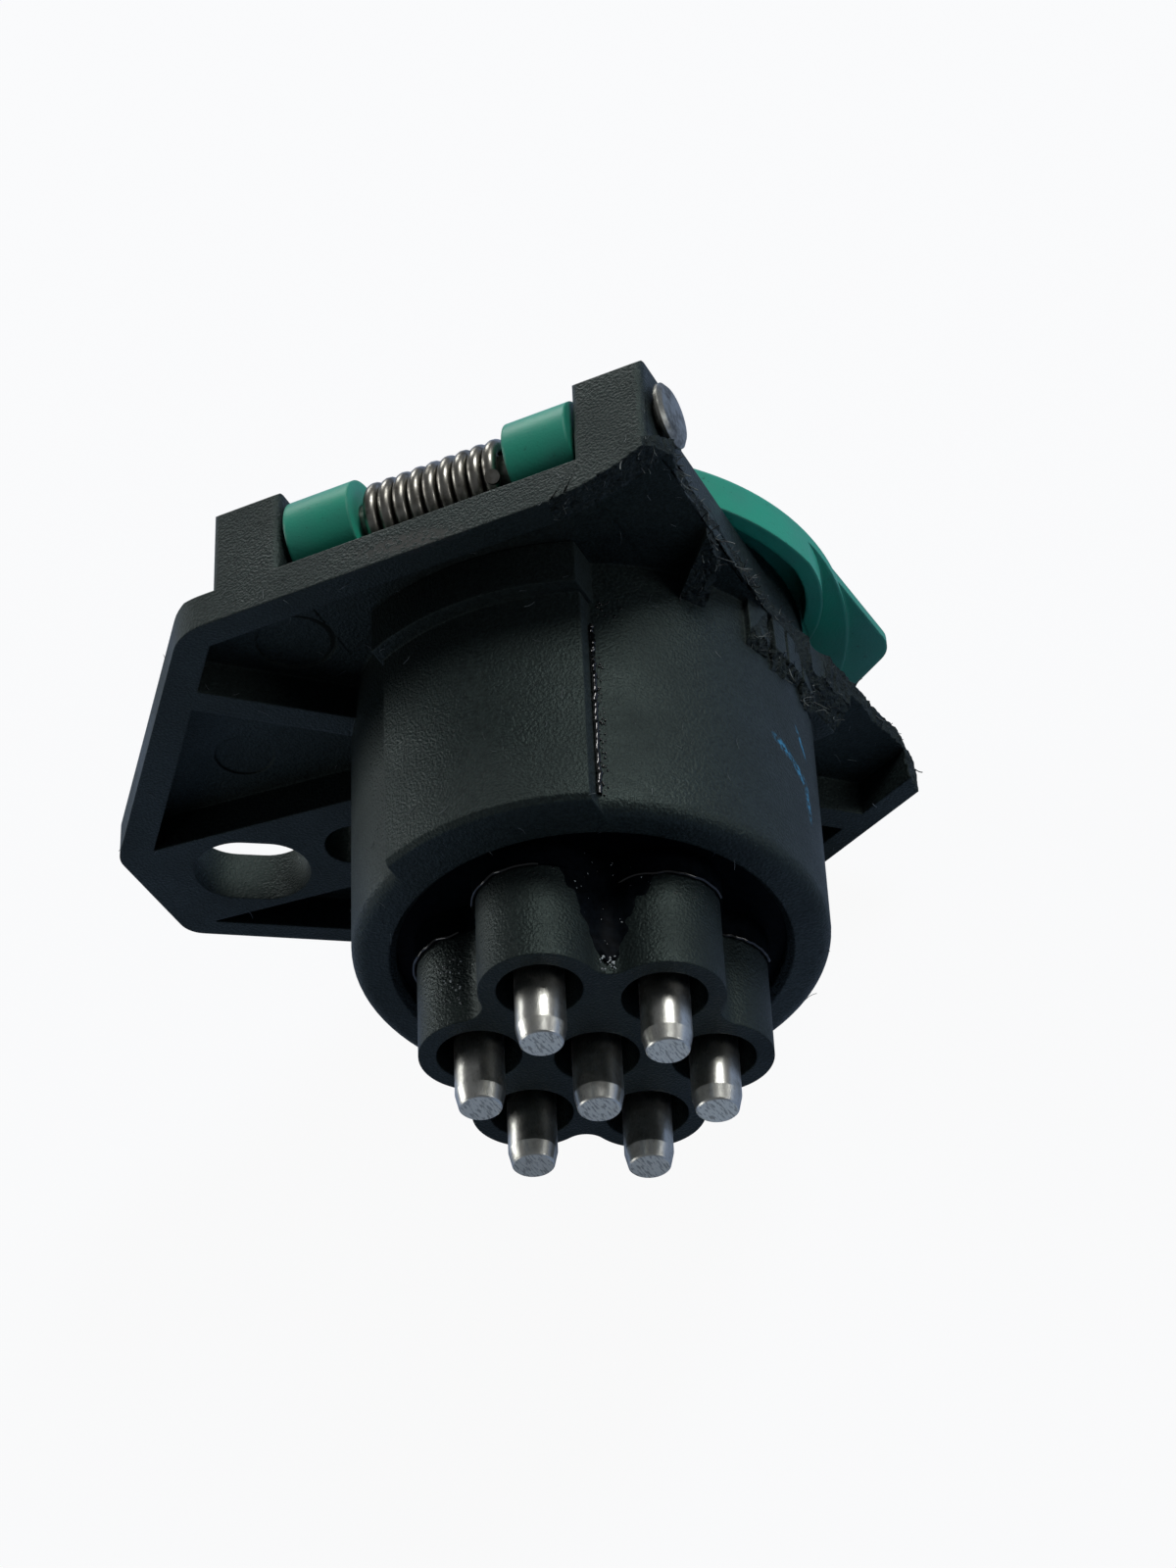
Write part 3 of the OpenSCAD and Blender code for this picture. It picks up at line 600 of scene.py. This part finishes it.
def new_tree(name, inputs):
    """A Geometry Nodes tree with named inputs, their sockets and its group input node's."""
    tree = bpy.data.node_groups.new(name, "GeometryNodeTree")
    sides = tree.interface
    sides.new_socket("Geometry", in_out="INPUT", socket_type="NodeSocketGeometry")
    sockets = [
        sides.new_socket(label, in_out="INPUT", socket_type="NodeSocket" + kind)
        for label, kind in inputs
    ]
    sides.new_socket("Geometry", in_out="OUTPUT", socket_type="NodeSocketGeometry")
    return tree, sockets, add(tree, "NodeGroupInput").outputs


def end_tree(tree, geometry, material):
    """Ends a tree in plain smooth geometry of one material."""
    real = add(tree, "GeometryNodeRealizeInstances", {"Geometry": geometry})
    smooth = add(tree, "GeometryNodeSetShadeSmooth", {"Geometry": real.outputs[0]})
    finished = {"Geometry": smooth.outputs[0], "Material": material}
    finish = add(tree, "GeometryNodeSetMaterial", finished)
    add(tree, "NodeGroupOutput", {"Geometry": finish.outputs[0]})


def swept(tree, line, thickness, sides):
    """A round bar along a line, closed at both ends."""
    radius = add(tree, "ShaderNodeMath", {0: thickness, 1: 0.5}, operation="MULTIPLY")
    ring = add(
        tree,
        "GeometryNodeCurvePrimitiveCircle",
        {"Resolution": sides, "Radius": radius.outputs[0]},
    )
    bar = add(
        tree,
        "GeometryNodeCurveToMesh",
        {"Curve": line, "Profile Curve": ring.outputs["Curve"], "Fill Caps": True},
    )
    return bar.outputs[0]


def scattered(tree, given, piece, lean_from, lean_to, material):
    """Puts a small piece on random spots of the host, with its turn and size at random."""
    spots = add(
        tree,
        "GeometryNodeDistributePointsOnFaces",
        {"Mesh": given["Geometry"], "Density": given["Per square metre"], "Seed": given["Seed"]},
    )
    turn = add(
        tree,
        "FunctionNodeRandomValue",
        {0: (lean_from, 0, 0), 1: (lean_to, 0, 2 * math.pi), 8: given["Seed"]},
        data_type="FLOAT_VECTOR",
    )
    stance = add(
        tree,
        "FunctionNodeRotateRotation",
        {0: spots.outputs["Rotation"], 1: turn.outputs[0]},
        rotation_space="LOCAL",
    )
    size = add(
        tree,
        "FunctionNodeRandomValue",
        {2: SMALLEST, 3: LARGEST, 8: given["Seed"]},
        data_type="FLOAT",
    )
    placed = add(
        tree,
        "GeometryNodeInstanceOnPoints",
        {
            "Points": spots.outputs["Points"],
            "Instance": piece,
            "Rotation": stance.outputs[0],
            "Scale": size.outputs[1],
        },
    )
    end_tree(tree, placed.outputs[0], material)


def fibres_on(host, name, per_cm2, length, thickness, lean, seed, material):
    """Bent fibres on a host, leaning from its normal by these two angles; sizes in mm."""
    tree, sockets, given = new_tree(
        name,
        [
            ("Per square metre", "Float"),
            ("Length", "Float"),
            ("Thickness", "Float"),
            ("Seed", "Int"),
        ],
    )
    knee, aside, tip = (
        add(tree, "ShaderNodeMath", {0: given["Length"], 1: rise}, operation="MULTIPLY").outputs[0]
        for rise in FIBRE_RISES
    )
    middle = add(tree, "ShaderNodeCombineXYZ", {"X": aside, "Z": knee})
    end = add(tree, "ShaderNodeCombineXYZ", {"X": aside, "Y": aside, "Z": tip})
    bend = add(
        tree,
        "GeometryNodeCurveQuadraticBezier",
        {
            "Resolution": FIBRE_STEPS,
            "Start": (0, 0, -ROOT_DEPTH),
            "Middle": middle.outputs[0],
            "End": end.outputs[0],
        },
    )
    fibre = swept(tree, bend.outputs[0], given["Thickness"], FIBRE_SIDES)
    scattered(tree, given, fibre, math.radians(lean[0]), math.radians(lean[1]), material)
    sizes = (per_cm2 * PER_CM2, length / MM_PER_M, thickness / MM_PER_M, seed)
    run_tree(host, tree, sockets, sizes)
    piece = made_plain(host, name)
    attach(piece, "socket")


# Drawn nylon: thin strands with a soft shine, dark or whitened by the pull.
strand_nylon, tree = new_material("drawn_nylon_strand")
tone = speckle(tree, in_mm(tree), STRAND_TONE_MM, low=0.4, high=0.62)
surface(
    tree,
    {
        "Base Color": stained(tree, linear("#111618"), tone, linear("#616967")),
        "Roughness": 0.45,
        "IOR": NYLON_IOR,
        "Specular IOR Level": 0.4,
    },
)
# Lint: dull grey threads, paler along some of their length.
lint, tree = new_material("grey_lint")
tone = speckle(tree, in_mm(tree), LINT_TONE_MM, low=0.35, high=0.65)
colour = stained(tree, linear("#363e40"), tone, linear("#7c8486"))
surface(tree, {"Base Color": colour, "Roughness": 0.85, "IOR": 1.5})

# each kind: how many on a square cm, length and thickness, lean, seed
fibres_on(torn_host, "torn_strands", 26, 0.9, 0.12, (25, 80), 3, strand_nylon)
fibres_on(torn_front_host, "torn_tufts", 70, 1.4, 0.11, (40, 80), 8, strand_nylon)
# lint of 0.02 mm, drawn at 0.05 mm so that it shows
fibres_on(rear_host, "lint_on_rear", 3.4, 1.0, 0.05, (86, 89), 5, lint)
fibres_on(upper_host, "lint_on_top", 3.2, 0.9, 0.05, (86, 89), 6, lint)


# ---------------------------------------------------------------- insert
# The disc and its seven tubes are one moulding of smoother black nylon,
# pushed into the housing from behind. Its colour is the housing nylon's mixed
# 0.4 towards near black: painted shade for the shell's shadow over the tubes,
# with less of the dust showing.
def finish_node(name, material):
    """Gives a CAD node its material."""
    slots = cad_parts[name].data.materials
    slots.clear()
    slots.append(material)


shaded_insert_nylon = nylon.copy()
shaded_insert_nylon.name = "smooth_black_nylon_with_painted_shade"
tree = shaded_insert_nylon.node_tree
shader = next(node for node in tree.nodes if node.type == "BSDF_PRINCIPLED")
dusty = shader.inputs["Base Color"].links[0].from_socket
# painted shade: the housing's colour, darkened towards near black
tree.links.new(stained(tree, dusty, 0.4, linear("#070a0b")), shader.inputs["Base Color"])
finish_node("insert", shaded_insert_nylon)


# ---------------------------------------------------------------- sealant
# Black epoxy poured between the insert and the housing. It set dull, beaded up
# round the tubes and along the key pad, and ran down the valley between two.
EPOXY_IOR = 1.55
RIPPLE_MM = 0.8
CRUMB_TONE_MM = 0.45

# Poured epoxy: deep black and slightly rippled.
epoxy, tree = new_material("poured_black_epoxy")
ripple = speckle(tree, in_mm(tree), RIPPLE_MM, detail=5.0, rough=0.6, low=0.3, high=0.75)
bump = add(tree, "ShaderNodeBump", {"Height": ripple, "Strength": 0.3, "Distance": 0.00006})
surface(
    tree,
    {
        "Base Color": stained(tree, linear("#030507"), ripple, linear("#0e1318")),
        "Roughness": 0.5,
        "IOR": EPOXY_IOR,
        "Specular IOR Level": 0.02,
        "Normal": bump.outputs[0],
    },
)
finish_node("sealant", epoxy)

# Beads of it have a wet-looking skin that catches small glints.
beaded_epoxy, tree = new_material("beaded_black_epoxy")
surface(tree, {"Base Color": linear("#060708"), "Roughness": 0.12, "IOR": EPOXY_IOR})

# Crumbs of it are scuffed pale in places; the pale tone also stands in as painted glints on the
# crumbs and on the run's skin.
pale_epoxy_and_glints, tree = new_material("scuffed_epoxy_crumbs_and_painted_glints")
tone = speckle(tree, in_mm(tree), CRUMB_TONE_MM, detail=4.0, low=0.4, high=0.6)
colour = stained(tree, linear("#1c2124"), tone, linear("#b4bdbf"))
surface(tree, {"Base Color": colour, "Roughness": 0.3, "IOR": EPOXY_IOR})


def wire_along(name, path, diameter, material, sides=16, swell=None):
    """A round wire or bead along points in mm; swell scales it at each."""
    line = bpy.data.curves.new(name, "CURVE")
    line.dimensions = "3D"
    run = line.splines.new("POLY")
    run.points.add(len(path) - 1)
    for index, (point, place) in enumerate(zip(run.points, path)):
        point.co = [c / MM_PER_M for c in place] + [1]
        point.radius = swell[index] if swell else 1
    source = in_scene(name + "_path", line)
    tree, sockets, given = new_tree(name + "_sweep", [("Wire diameter", "Float"), ("Sides", "Int")])
    wire = swept(tree, given["Geometry"], given["Wire diameter"], given["Sides"])
    end_tree(tree, wire, material)
    run_tree(source, tree, sockets, (diameter / MM_PER_M, sides))
    return made_plain(source, name)


BEAD_SIDES = 8
BEAD_ENDS = 0.25
BEAD_THINNEST, BEAD_MEAN, BEAD_LUMP = 0.08, 0.75, 1.2


def bead(name, path, diameter, seed, lumps=0.9):
    """A bead of sealant: lumpy, and thin over the quarter of its length at each end."""
    count = len(path)
    swell = []
    for index in range(count):
        ends = min(1, index / count / BEAD_ENDS, (count - 1 - index) / count / BEAD_ENDS)
        lump = BEAD_MEAN + BEAD_LUMP * noise.noise(Vector((index * lumps, seed, 0)))
        swell.append(max(BEAD_THINNEST, ends * lump))
    piece = wire_along(name, path, diameter, beaded_epoxy, BEAD_SIDES, swell)
    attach(piece, "socket")


DROP_SHAPE = (1.0, 0.8, 0.42)
DROP_SPLITS = 2


def drops_on(host, name, per_cm2, size, seed, material):
    """Flat drops or crumbs of sealant on a host; size in mm."""
    tree, sockets, given = new_tree(
        name, [("Per square metre", "Float"), ("Size", "Float"), ("Seed", "Int")]
    )
    ball = add(
        tree, "GeometryNodeMeshIcoSphere", {"Radius": given["Size"], "Subdivisions": DROP_SPLITS}
    )
    flat = add(tree, "GeometryNodeTransform", {"Geometry": ball.outputs[0], "Scale": DROP_SHAPE})
    scattered(tree, given, flat.outputs[0], 0, 0, material)
    run_tree(host, tree, sockets, (per_cm2 * PER_CM2, size / 2 / MM_PER_M, seed))
    piece = made_plain(host, name)
    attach(piece, "socket")


def grid_patch(name, across, along, place):
    """A patch of quads through place(i, j) in mm; a quad with an empty corner is left out."""
    patch = bmesh.new()
    spots = {}
    for i in range(across + 1):
        for j in range(along + 1):
            spot = place(i / across, j / along)
            if spot is not None:
                spots[i, j] = patch.verts.new(Vector(spot) / MM_PER_M)
    for i in range(across):
        for j in range(along):
            corners = [spots.get(key) for key in ((i, j), (i + 1, j), (i + 1, j + 1), (i, j + 1))]
            if all(corners):
                patch.faces.new(corners).smooth = True
    return object_of(name, patch)


TUBE_R = 5.75
FILM_R = TUBE_R + 0.25
POTTING_Y = -24.4
FILM_EDGE_Y = POTTING_Y - 3
BEAD_STEPS = 60
BEAD_WANDER = 0.3
BEAD_D, PAD_BEAD_D = 0.36, 0.6
PLUG_AXIS = Vector((0, 0))
TOP_TUBE = Vector((0, 12.2))
RIGHT_TUBE = Vector((9.613, 5.55))
LEFT_TUBE = Vector((-9.613, 5.55))
LOW_TUBE = Vector((9.613, -5.55))
VALLEY = Vector((7.87, 13.33))
VALLEY_R = 2.2

# beads along the film's edge: round which tube, and between which angles
for name, centre, start, stop, seed in (
    ("bead_top_tube", TOP_TUBE, 176, 62, 1),
    ("bead_right_tube", RIGHT_TUBE, 112, -8, 2),
    ("bead_left_tube", LEFT_TUBE, 178, 80, 3),
    ("bead_low_tube", LOW_TUBE, 62, -12, 4),
):
    path = []
    for step in range(BEAD_STEPS + 1):
        angle = math.radians(start + (stop - start) * step / BEAD_STEPS)
        y = FILM_EDGE_Y + BEAD_WANDER * noise.noise(Vector((step * 0.12, seed, 4)))
        x, z = centre.x + FILM_R * math.cos(angle), centre.y + FILM_R * math.sin(angle)
        path.append((x, y, z))
    bead(name, path, BEAD_D, seed)

# The run in the valley starts at the potting, wide, and thins to a tip: half
# its width at each depth, where it lies, and how far the skin stands proud.
run_half_width = [(-24, 6.6), (-27.4, 5.4), (-30, 3.4), (-33, 2), (-35.6, 1), (-36.5, 0.1)]
RUN_FROM_Y = -24.6
RUN_L = 11.7
RUN_ACROSS = 14.3
RUN_MIDDLE = 7.2
RUN_EDGE = 1.25
RUN_WANDER = 0.9
RUN_HEIGHT, RUN_SUNK = 0.36, -0.08
RUN_GRIT, RUN_GRIT_HEIGHT = 0.8, 0.03
# the tubes' outline there: centre, radius, angles from and to, and which side is out
valley_arcs = (
    (TOP_TUBE, TUBE_R, 62, 8.2, 1),
    (VALLEY, VALLEY_R, 188.2, 282.6, -1),
    (RIGHT_TUBE, TUBE_R, 102.6, 50, 1),
)


def valley_point(run, lift):
    """A point of the outline, so far along it and so far out from it."""
    for centre, radius, start, stop, side in valley_arcs:
        length = abs(math.radians(stop - start)) * radius
        if run <= length or centre == RIGHT_TUBE:
            angle = math.radians(start + (stop - start) * run / length)
            reach = radius + side * lift
            return centre.x + reach * math.cos(angle), centre.y + reach * math.sin(angle)
        run -= length


def in_valley(i, j):
    """A point of the run's skin, or nothing where it is well past the run's edge."""
    y = RUN_FROM_Y - RUN_L * j
    run = RUN_ACROSS * i
    wander = RUN_WANDER * noise.noise(Vector((run * 0.9, y * 0.8, 3)))
    reach = between(run_half_width, y, 1) + wander
    share = abs(run - RUN_MIDDLE) / max(reach, 0.05)
    if share > RUN_EDGE:
        return None
    grit = RUN_GRIT_HEIGHT * noise.noise(Vector((run * RUN_GRIT, y * RUN_GRIT, 7)))
    lift = RUN_HEIGHT * (1 - share * share) + grit
    x, z = valley_point(run, max(lift, RUN_SUNK))
    return x, y, z


sealant_run = grid_patch("sealant_run", 90, 76, in_valley)
sealant_run.data.materials.append(epoxy)
run_host = in_scene("run_host", sealant_run.data.copy())
# painted glints: pale specks over the run, in place of small glints on its black skin
drops_on(run_host, "painted_glints_on_run", 36, 0.16, 11, pale_epoxy_and_glints)
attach(sealant_run, "socket")


def on_tube(centre, radius, start, stop, y_from, y_to):
    """The place function of a patch on a tube, between these angles and depths."""

    def place(i, j):
        angle = math.radians(start + (stop - start) * i)
        x, z = centre.x + radius * math.cos(angle), centre.y + radius * math.sin(angle)
        return x, y_from + (y_to - y_from) * j, z

    return place


# Drops on the film round the tubes, in the corner where the barrel meets the
# flange and along the step of the key pad, and crumbs on the tubes and the
# run's tip: where they lie, how many on a square cm, their size, and the seed.
barrel_corner = (PLUG_AXIS, BARREL_R, 54, 61, -2.6, -0.4)
pad_step = (PLUG_AXIS, BARREL_R + 0.1, 60.2, 62.8, -24.5, -7)
for name, patch, per_cm2, size, seed, material in (
    ("drops_top_tube", (TOP_TUBE, TUBE_R, 150, 30, -29.2, -27.2), 130, 0.16, 12, beaded_epoxy),
    ("drops_right_tube", (RIGHT_TUBE, TUBE_R, 112, -8, -30.5, -27.2), 170, 0.16, 13, beaded_epoxy),
    ("crumbs_left_tube", (LEFT_TUBE, TUBE_R, 106, 78, -35.5, -30.0), 260, 0.24, 16, pale_epoxy_and_glints),
    ("crumbs_low_tube", (LOW_TUBE, TUBE_R, 108, 60, -36.0, -30.0), 200, 0.24, 17, pale_epoxy_and_glints),
    ("crumbs_valley", (VALLEY, VALLEY_R - 0.3, 212, 258, -37.4, -35.6), 900, 0.3, 18, pale_epoxy_and_glints),
    ("drops_barrel_corner", barrel_corner, 240, 0.26, 14, beaded_epoxy),
    ("drops_pad_step", pad_step, 640, 0.22, 15, beaded_epoxy),
):
    host = grid_patch(name + "_host", 24, 12, on_tube(*patch))
    drops_on(host, name, per_cm2, size, seed, material)

# the bead along the foot of the key pad's side
PAD_HALF_W = 10.55
PAD_BEAD_STEPS = 80
PAD_BEAD_FROM_Y = -4
corner_z = math.sqrt(BARREL_R**2 - PAD_HALF_W**2)
path = []
for step in range(PAD_BEAD_STEPS + 1):
    y = PAD_BEAD_FROM_Y + (POTTING_Y - PAD_BEAD_FROM_Y) * step / PAD_BEAD_STEPS
    wander = 0.2 + 0.2 * noise.noise(Vector((y * 0.7, 1, 2)))
    wander += 0.3 * noise.noise(Vector((y * 3.1, 4, 2)))
    path.append((PAD_HALF_W + wander, y, corner_z + 0.1))
bead("bead_pad_step", path, PAD_BEAD_D, 5, lumps=1.7)


# ---------------------------------------------------------------- contact pins
# Turned steel pins, plain and slightly tarnished. The push-on ends are
# tapered, and their end faces are rough from being cut off.
STAIN_MM = 1.6
HAZE_MM = 0.12
SCRATCH_MM = 0.5
SCRIBBLE_MM = 0.7
PIN_EDGE_ROUND = 0.00012
LOOKS_BACK = -0.95

# Turned steel: bright where it is clean, brownish and duller in the tarnish.
steel, tree = new_material("turned_tarnished_steel")
at = in_mm(tree)
stain = speckle(tree, at, STAIN_MM, detail=5.0, rough=0.6, low=0.5, high=0.8)
haze = speckle(tree, at, HAZE_MM, detail=3.0, low=0.3, high=0.7)
colour = stained(tree, linear("#cfcfc8"), stain, linear("#8c8c83"))
colour = stained(tree, colour, haze, linear("#a9a99f"), 0.3)
# scratches drawn out one way
scratch_at = add(
    tree, "ShaderNodeMapping", {"Vector": at, "Rotation": (0.3, 0.5, 0.2), "Scale": (3.2, 0.8, 0.9)}
)
scratch = speckle(
    tree, scratch_at.outputs[0], SCRATCH_MM, detail=6.0, rough=0.7, low=0.55, high=0.66
)
colour = stained(tree, colour, scratch, linear("#5f625e"), 0.35)
# the cut end faces, which look back along the plug axis, are paler and scribbled
side = add(tree, "ShaderNodeNewGeometry")
faces = add(tree, "ShaderNodeSeparateXYZ", {0: side.outputs["True Normal"]})
end_face = add(
    tree, "ShaderNodeMath", {0: faces.outputs["Y"], 1: LOOKS_BACK}, operation="LESS_THAN"
)
scribble_at = add(
    tree, "ShaderNodeMapping", {"Vector": at, "Rotation": (0, 0.7, 0), "Scale": (3.0, 1.0, 0.7)}
)
scribble = speckle(
    tree, scribble_at.outputs[0], SCRIBBLE_MM, detail=3.0, rough=0.6, low=0.5, high=0.6
)
end_tone = stained(tree, linear("#ebe5d2"), scribble, linear("#b0aa9a"))
colour = stained(tree, colour, end_face.outputs[0], end_tone)
polish = add(tree, "ShaderNodeMapRange", {"Value": stain, "To Min": 0.3, "To Max": 0.5})
rounded = add(tree, "ShaderNodeBevel", {"Radius": PIN_EDGE_ROUND}, samples=4)
bump = add(
    tree,
    "ShaderNodeBump",
    {"Height": scratch, "Strength": 0.15, "Distance": 0.00003, "Normal": rounded.outputs[0]},
)
surface(
    tree,
    {
        "Base Color": colour,
        "Metallic": 1.0,
        "Roughness": polish.outputs[0],
        "Normal": bump.outputs[0],
    },
)
for number in range(1, 8):
    finish_node(f"pin_{number}", steel)


# ---------------------------------------------------------------- lid
# The flip lid is injection moulded in green polypropylene, and swings on the
# hinge pin with its two knuckles.
CLOUD_MM = 6.0
DIRT_MM = 0.7
SKIN_MM = 0.25
LID_EDGE_ROUND = 0.0004

# Moulded polypropylene: a satin skin gone cloudy, with dark specks of dirt.
polypropylene, tree = new_material("moulded_green_polypropylene")
at = in_mm(tree)
cloud = speckle(tree, at, CLOUD_MM, detail=4.0, low=0.35, high=0.68)
dirt = speckle(tree, at, DIRT_MM, detail=6.0, rough=0.7, low=0.62, high=0.72)
skin = speckle(tree, at, SKIN_MM, low=0.3, high=0.7)
colour = stained(tree, linear("#239d80"), cloud, linear("#33937d"))
colour = stained(tree, colour, dirt, linear("#173f39"), 0.7)
rounded = add(tree, "ShaderNodeBevel", {"Radius": LID_EDGE_ROUND}, samples=4)
bump = add(
    tree,
    "ShaderNodeBump",
    {"Height": skin, "Strength": 0.2, "Distance": 0.00004, "Normal": rounded.outputs[0]},
)
surface(
    tree,
    {
        "Base Color": colour,
        "Roughness": 0.42,
        "IOR": 1.49,
        "Specular IOR Level": 0.45,
        "Normal": bump.outputs[0],
    },
)
finish_node("lid", polypropylene)


# ---------------------------------------------------------------- hinge pin
# A headed steel rivet pin through both lugs, with the knuckles and the spring
# on it. Its head is dull and scratched from being set.
TARNISH_MM = 1.2
HEAD_EDGE_ROUND = 0.00015

# Rivet steel: grey, with darker and duller patches of tarnish.
rivet_steel, tree = new_material("dulled_rivet_steel")
tarnish = speckle(tree, in_mm(tree), TARNISH_MM, detail=5.0, rough=0.65, low=0.4, high=0.66)
colour = stained(tree, linear("#96968f"), tarnish, linear("#5b5c58"))
polish = add(tree, "ShaderNodeMapRange", {"Value": tarnish, "To Min": 0.35, "To Max": 0.55})
rounded = add(tree, "ShaderNodeBevel", {"Radius": HEAD_EDGE_ROUND}, samples=4)
surface(
    tree,
    {
        "Base Color": colour,
        "Metallic": 1.0,
        "Roughness": polish.outputs[0],
        "Normal": rounded.outputs[0],
    },
)
finish_node("hinge_pin", rivet_steel)


# ---------------------------------------------------------------- spring
# A torsion spring of drawn steel wire, wound on the hinge pin. One leg presses
# on the lid's front; the other end is turned out over the last coil.
WIRE_D = 1.45
HINGE_PIN_R, PIN_GAP = 2, 0.25
COIL_R = HINGE_PIN_R + PIN_GAP + WIRE_D / 2
LEFT_KNUCKLE, RIGHT_KNUCKLE = -8.1, 8.5
COIL_LEFT = LEFT_KNUCKLE + 0.1 + WIRE_D / 2
COIL_RIGHT = RIGHT_KNUCKLE - 0.65 - WIRE_D / 2
COIL_TURNS = 9
COIL_START = -70
COIL_STEP = 12
HINGE_Y, HINGE_Z = 9.7, 29.8
LID_BACK, LID_FRONT = 13.0, 14.7
LEG_L = 10
LEG_GAP = 0.03
OXIDE_MM = 1.1

# Drawn wire: a soft shine, with darker brownish oxide between the coils.
spring_wire, tree = new_material("drawn_spring_wire")
oxide = speckle(tree, in_mm(tree), OXIDE_MM, detail=4.0, low=0.4, high=0.7)
colour = stained(tree, linear("#95938b"), oxide, linear("#55524b"))
polish = add(tree, "ShaderNodeMapRange", {"Value": oxide, "To Min": 0.28, "To Max": 0.48})
surface(tree, {"Base Color": colour, "Metallic": 1.0, "Roughness": polish.outputs[0]})


def on_coil(x, degrees):
    """A point of the coil's middle line, at this angle round the hinge pin."""
    angle = math.radians(degrees)
    return x, HINGE_Y + COIL_R * math.cos(angle), HINGE_Z + COIL_R * math.sin(angle)


wire_path = []
for turn in range(0, COIL_TURNS * 360 + 1, COIL_STEP):
    share = turn / (COIL_TURNS * 360)
    wire_path.append(on_coil(COIL_RIGHT - (COIL_RIGHT - COIL_LEFT) * share, COIL_START + turn))
# the leg: over the lid's edge in a tight bend, then straight down its front
leg_y = LID_FRONT + WIRE_D / 2 + LEG_GAP
leg_top = HINGE_Z - COIL_R + WIRE_D * 0.75
for y, z in (
    (LID_BACK - 0.3, leg_top),
    (LID_FRONT - 0.1, leg_top + 0.25),
    (leg_y - 0.2, leg_top),
    (leg_y, leg_top - 0.6),
    (leg_y, leg_top - 1.5),
    (leg_y, leg_top - LEG_L),
):
    wire_path.append((COIL_LEFT, y, z))
spring = wire_along("torsion_spring", wire_path, WIRE_D, spring_wire)
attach(spring, "socket")
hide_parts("spring")

# the cut end, which leans back and out from the coil
END_ANGLE = 133
END_L = 1.6
end_turn = Matrix.Rotation(math.radians(27), 3, "Z") @ Matrix.Rotation(math.radians(41), 3, "X")
end_from = Vector(on_coil(COIL_RIGHT - WIRE_D / 2, END_ANGLE))
end_path = [end_from, end_from + end_turn @ Vector((0, 0, END_L))]
spring_end = wire_along("spring_wire_end", end_path, WIRE_D, spring_wire)
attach(spring_end, "socket")
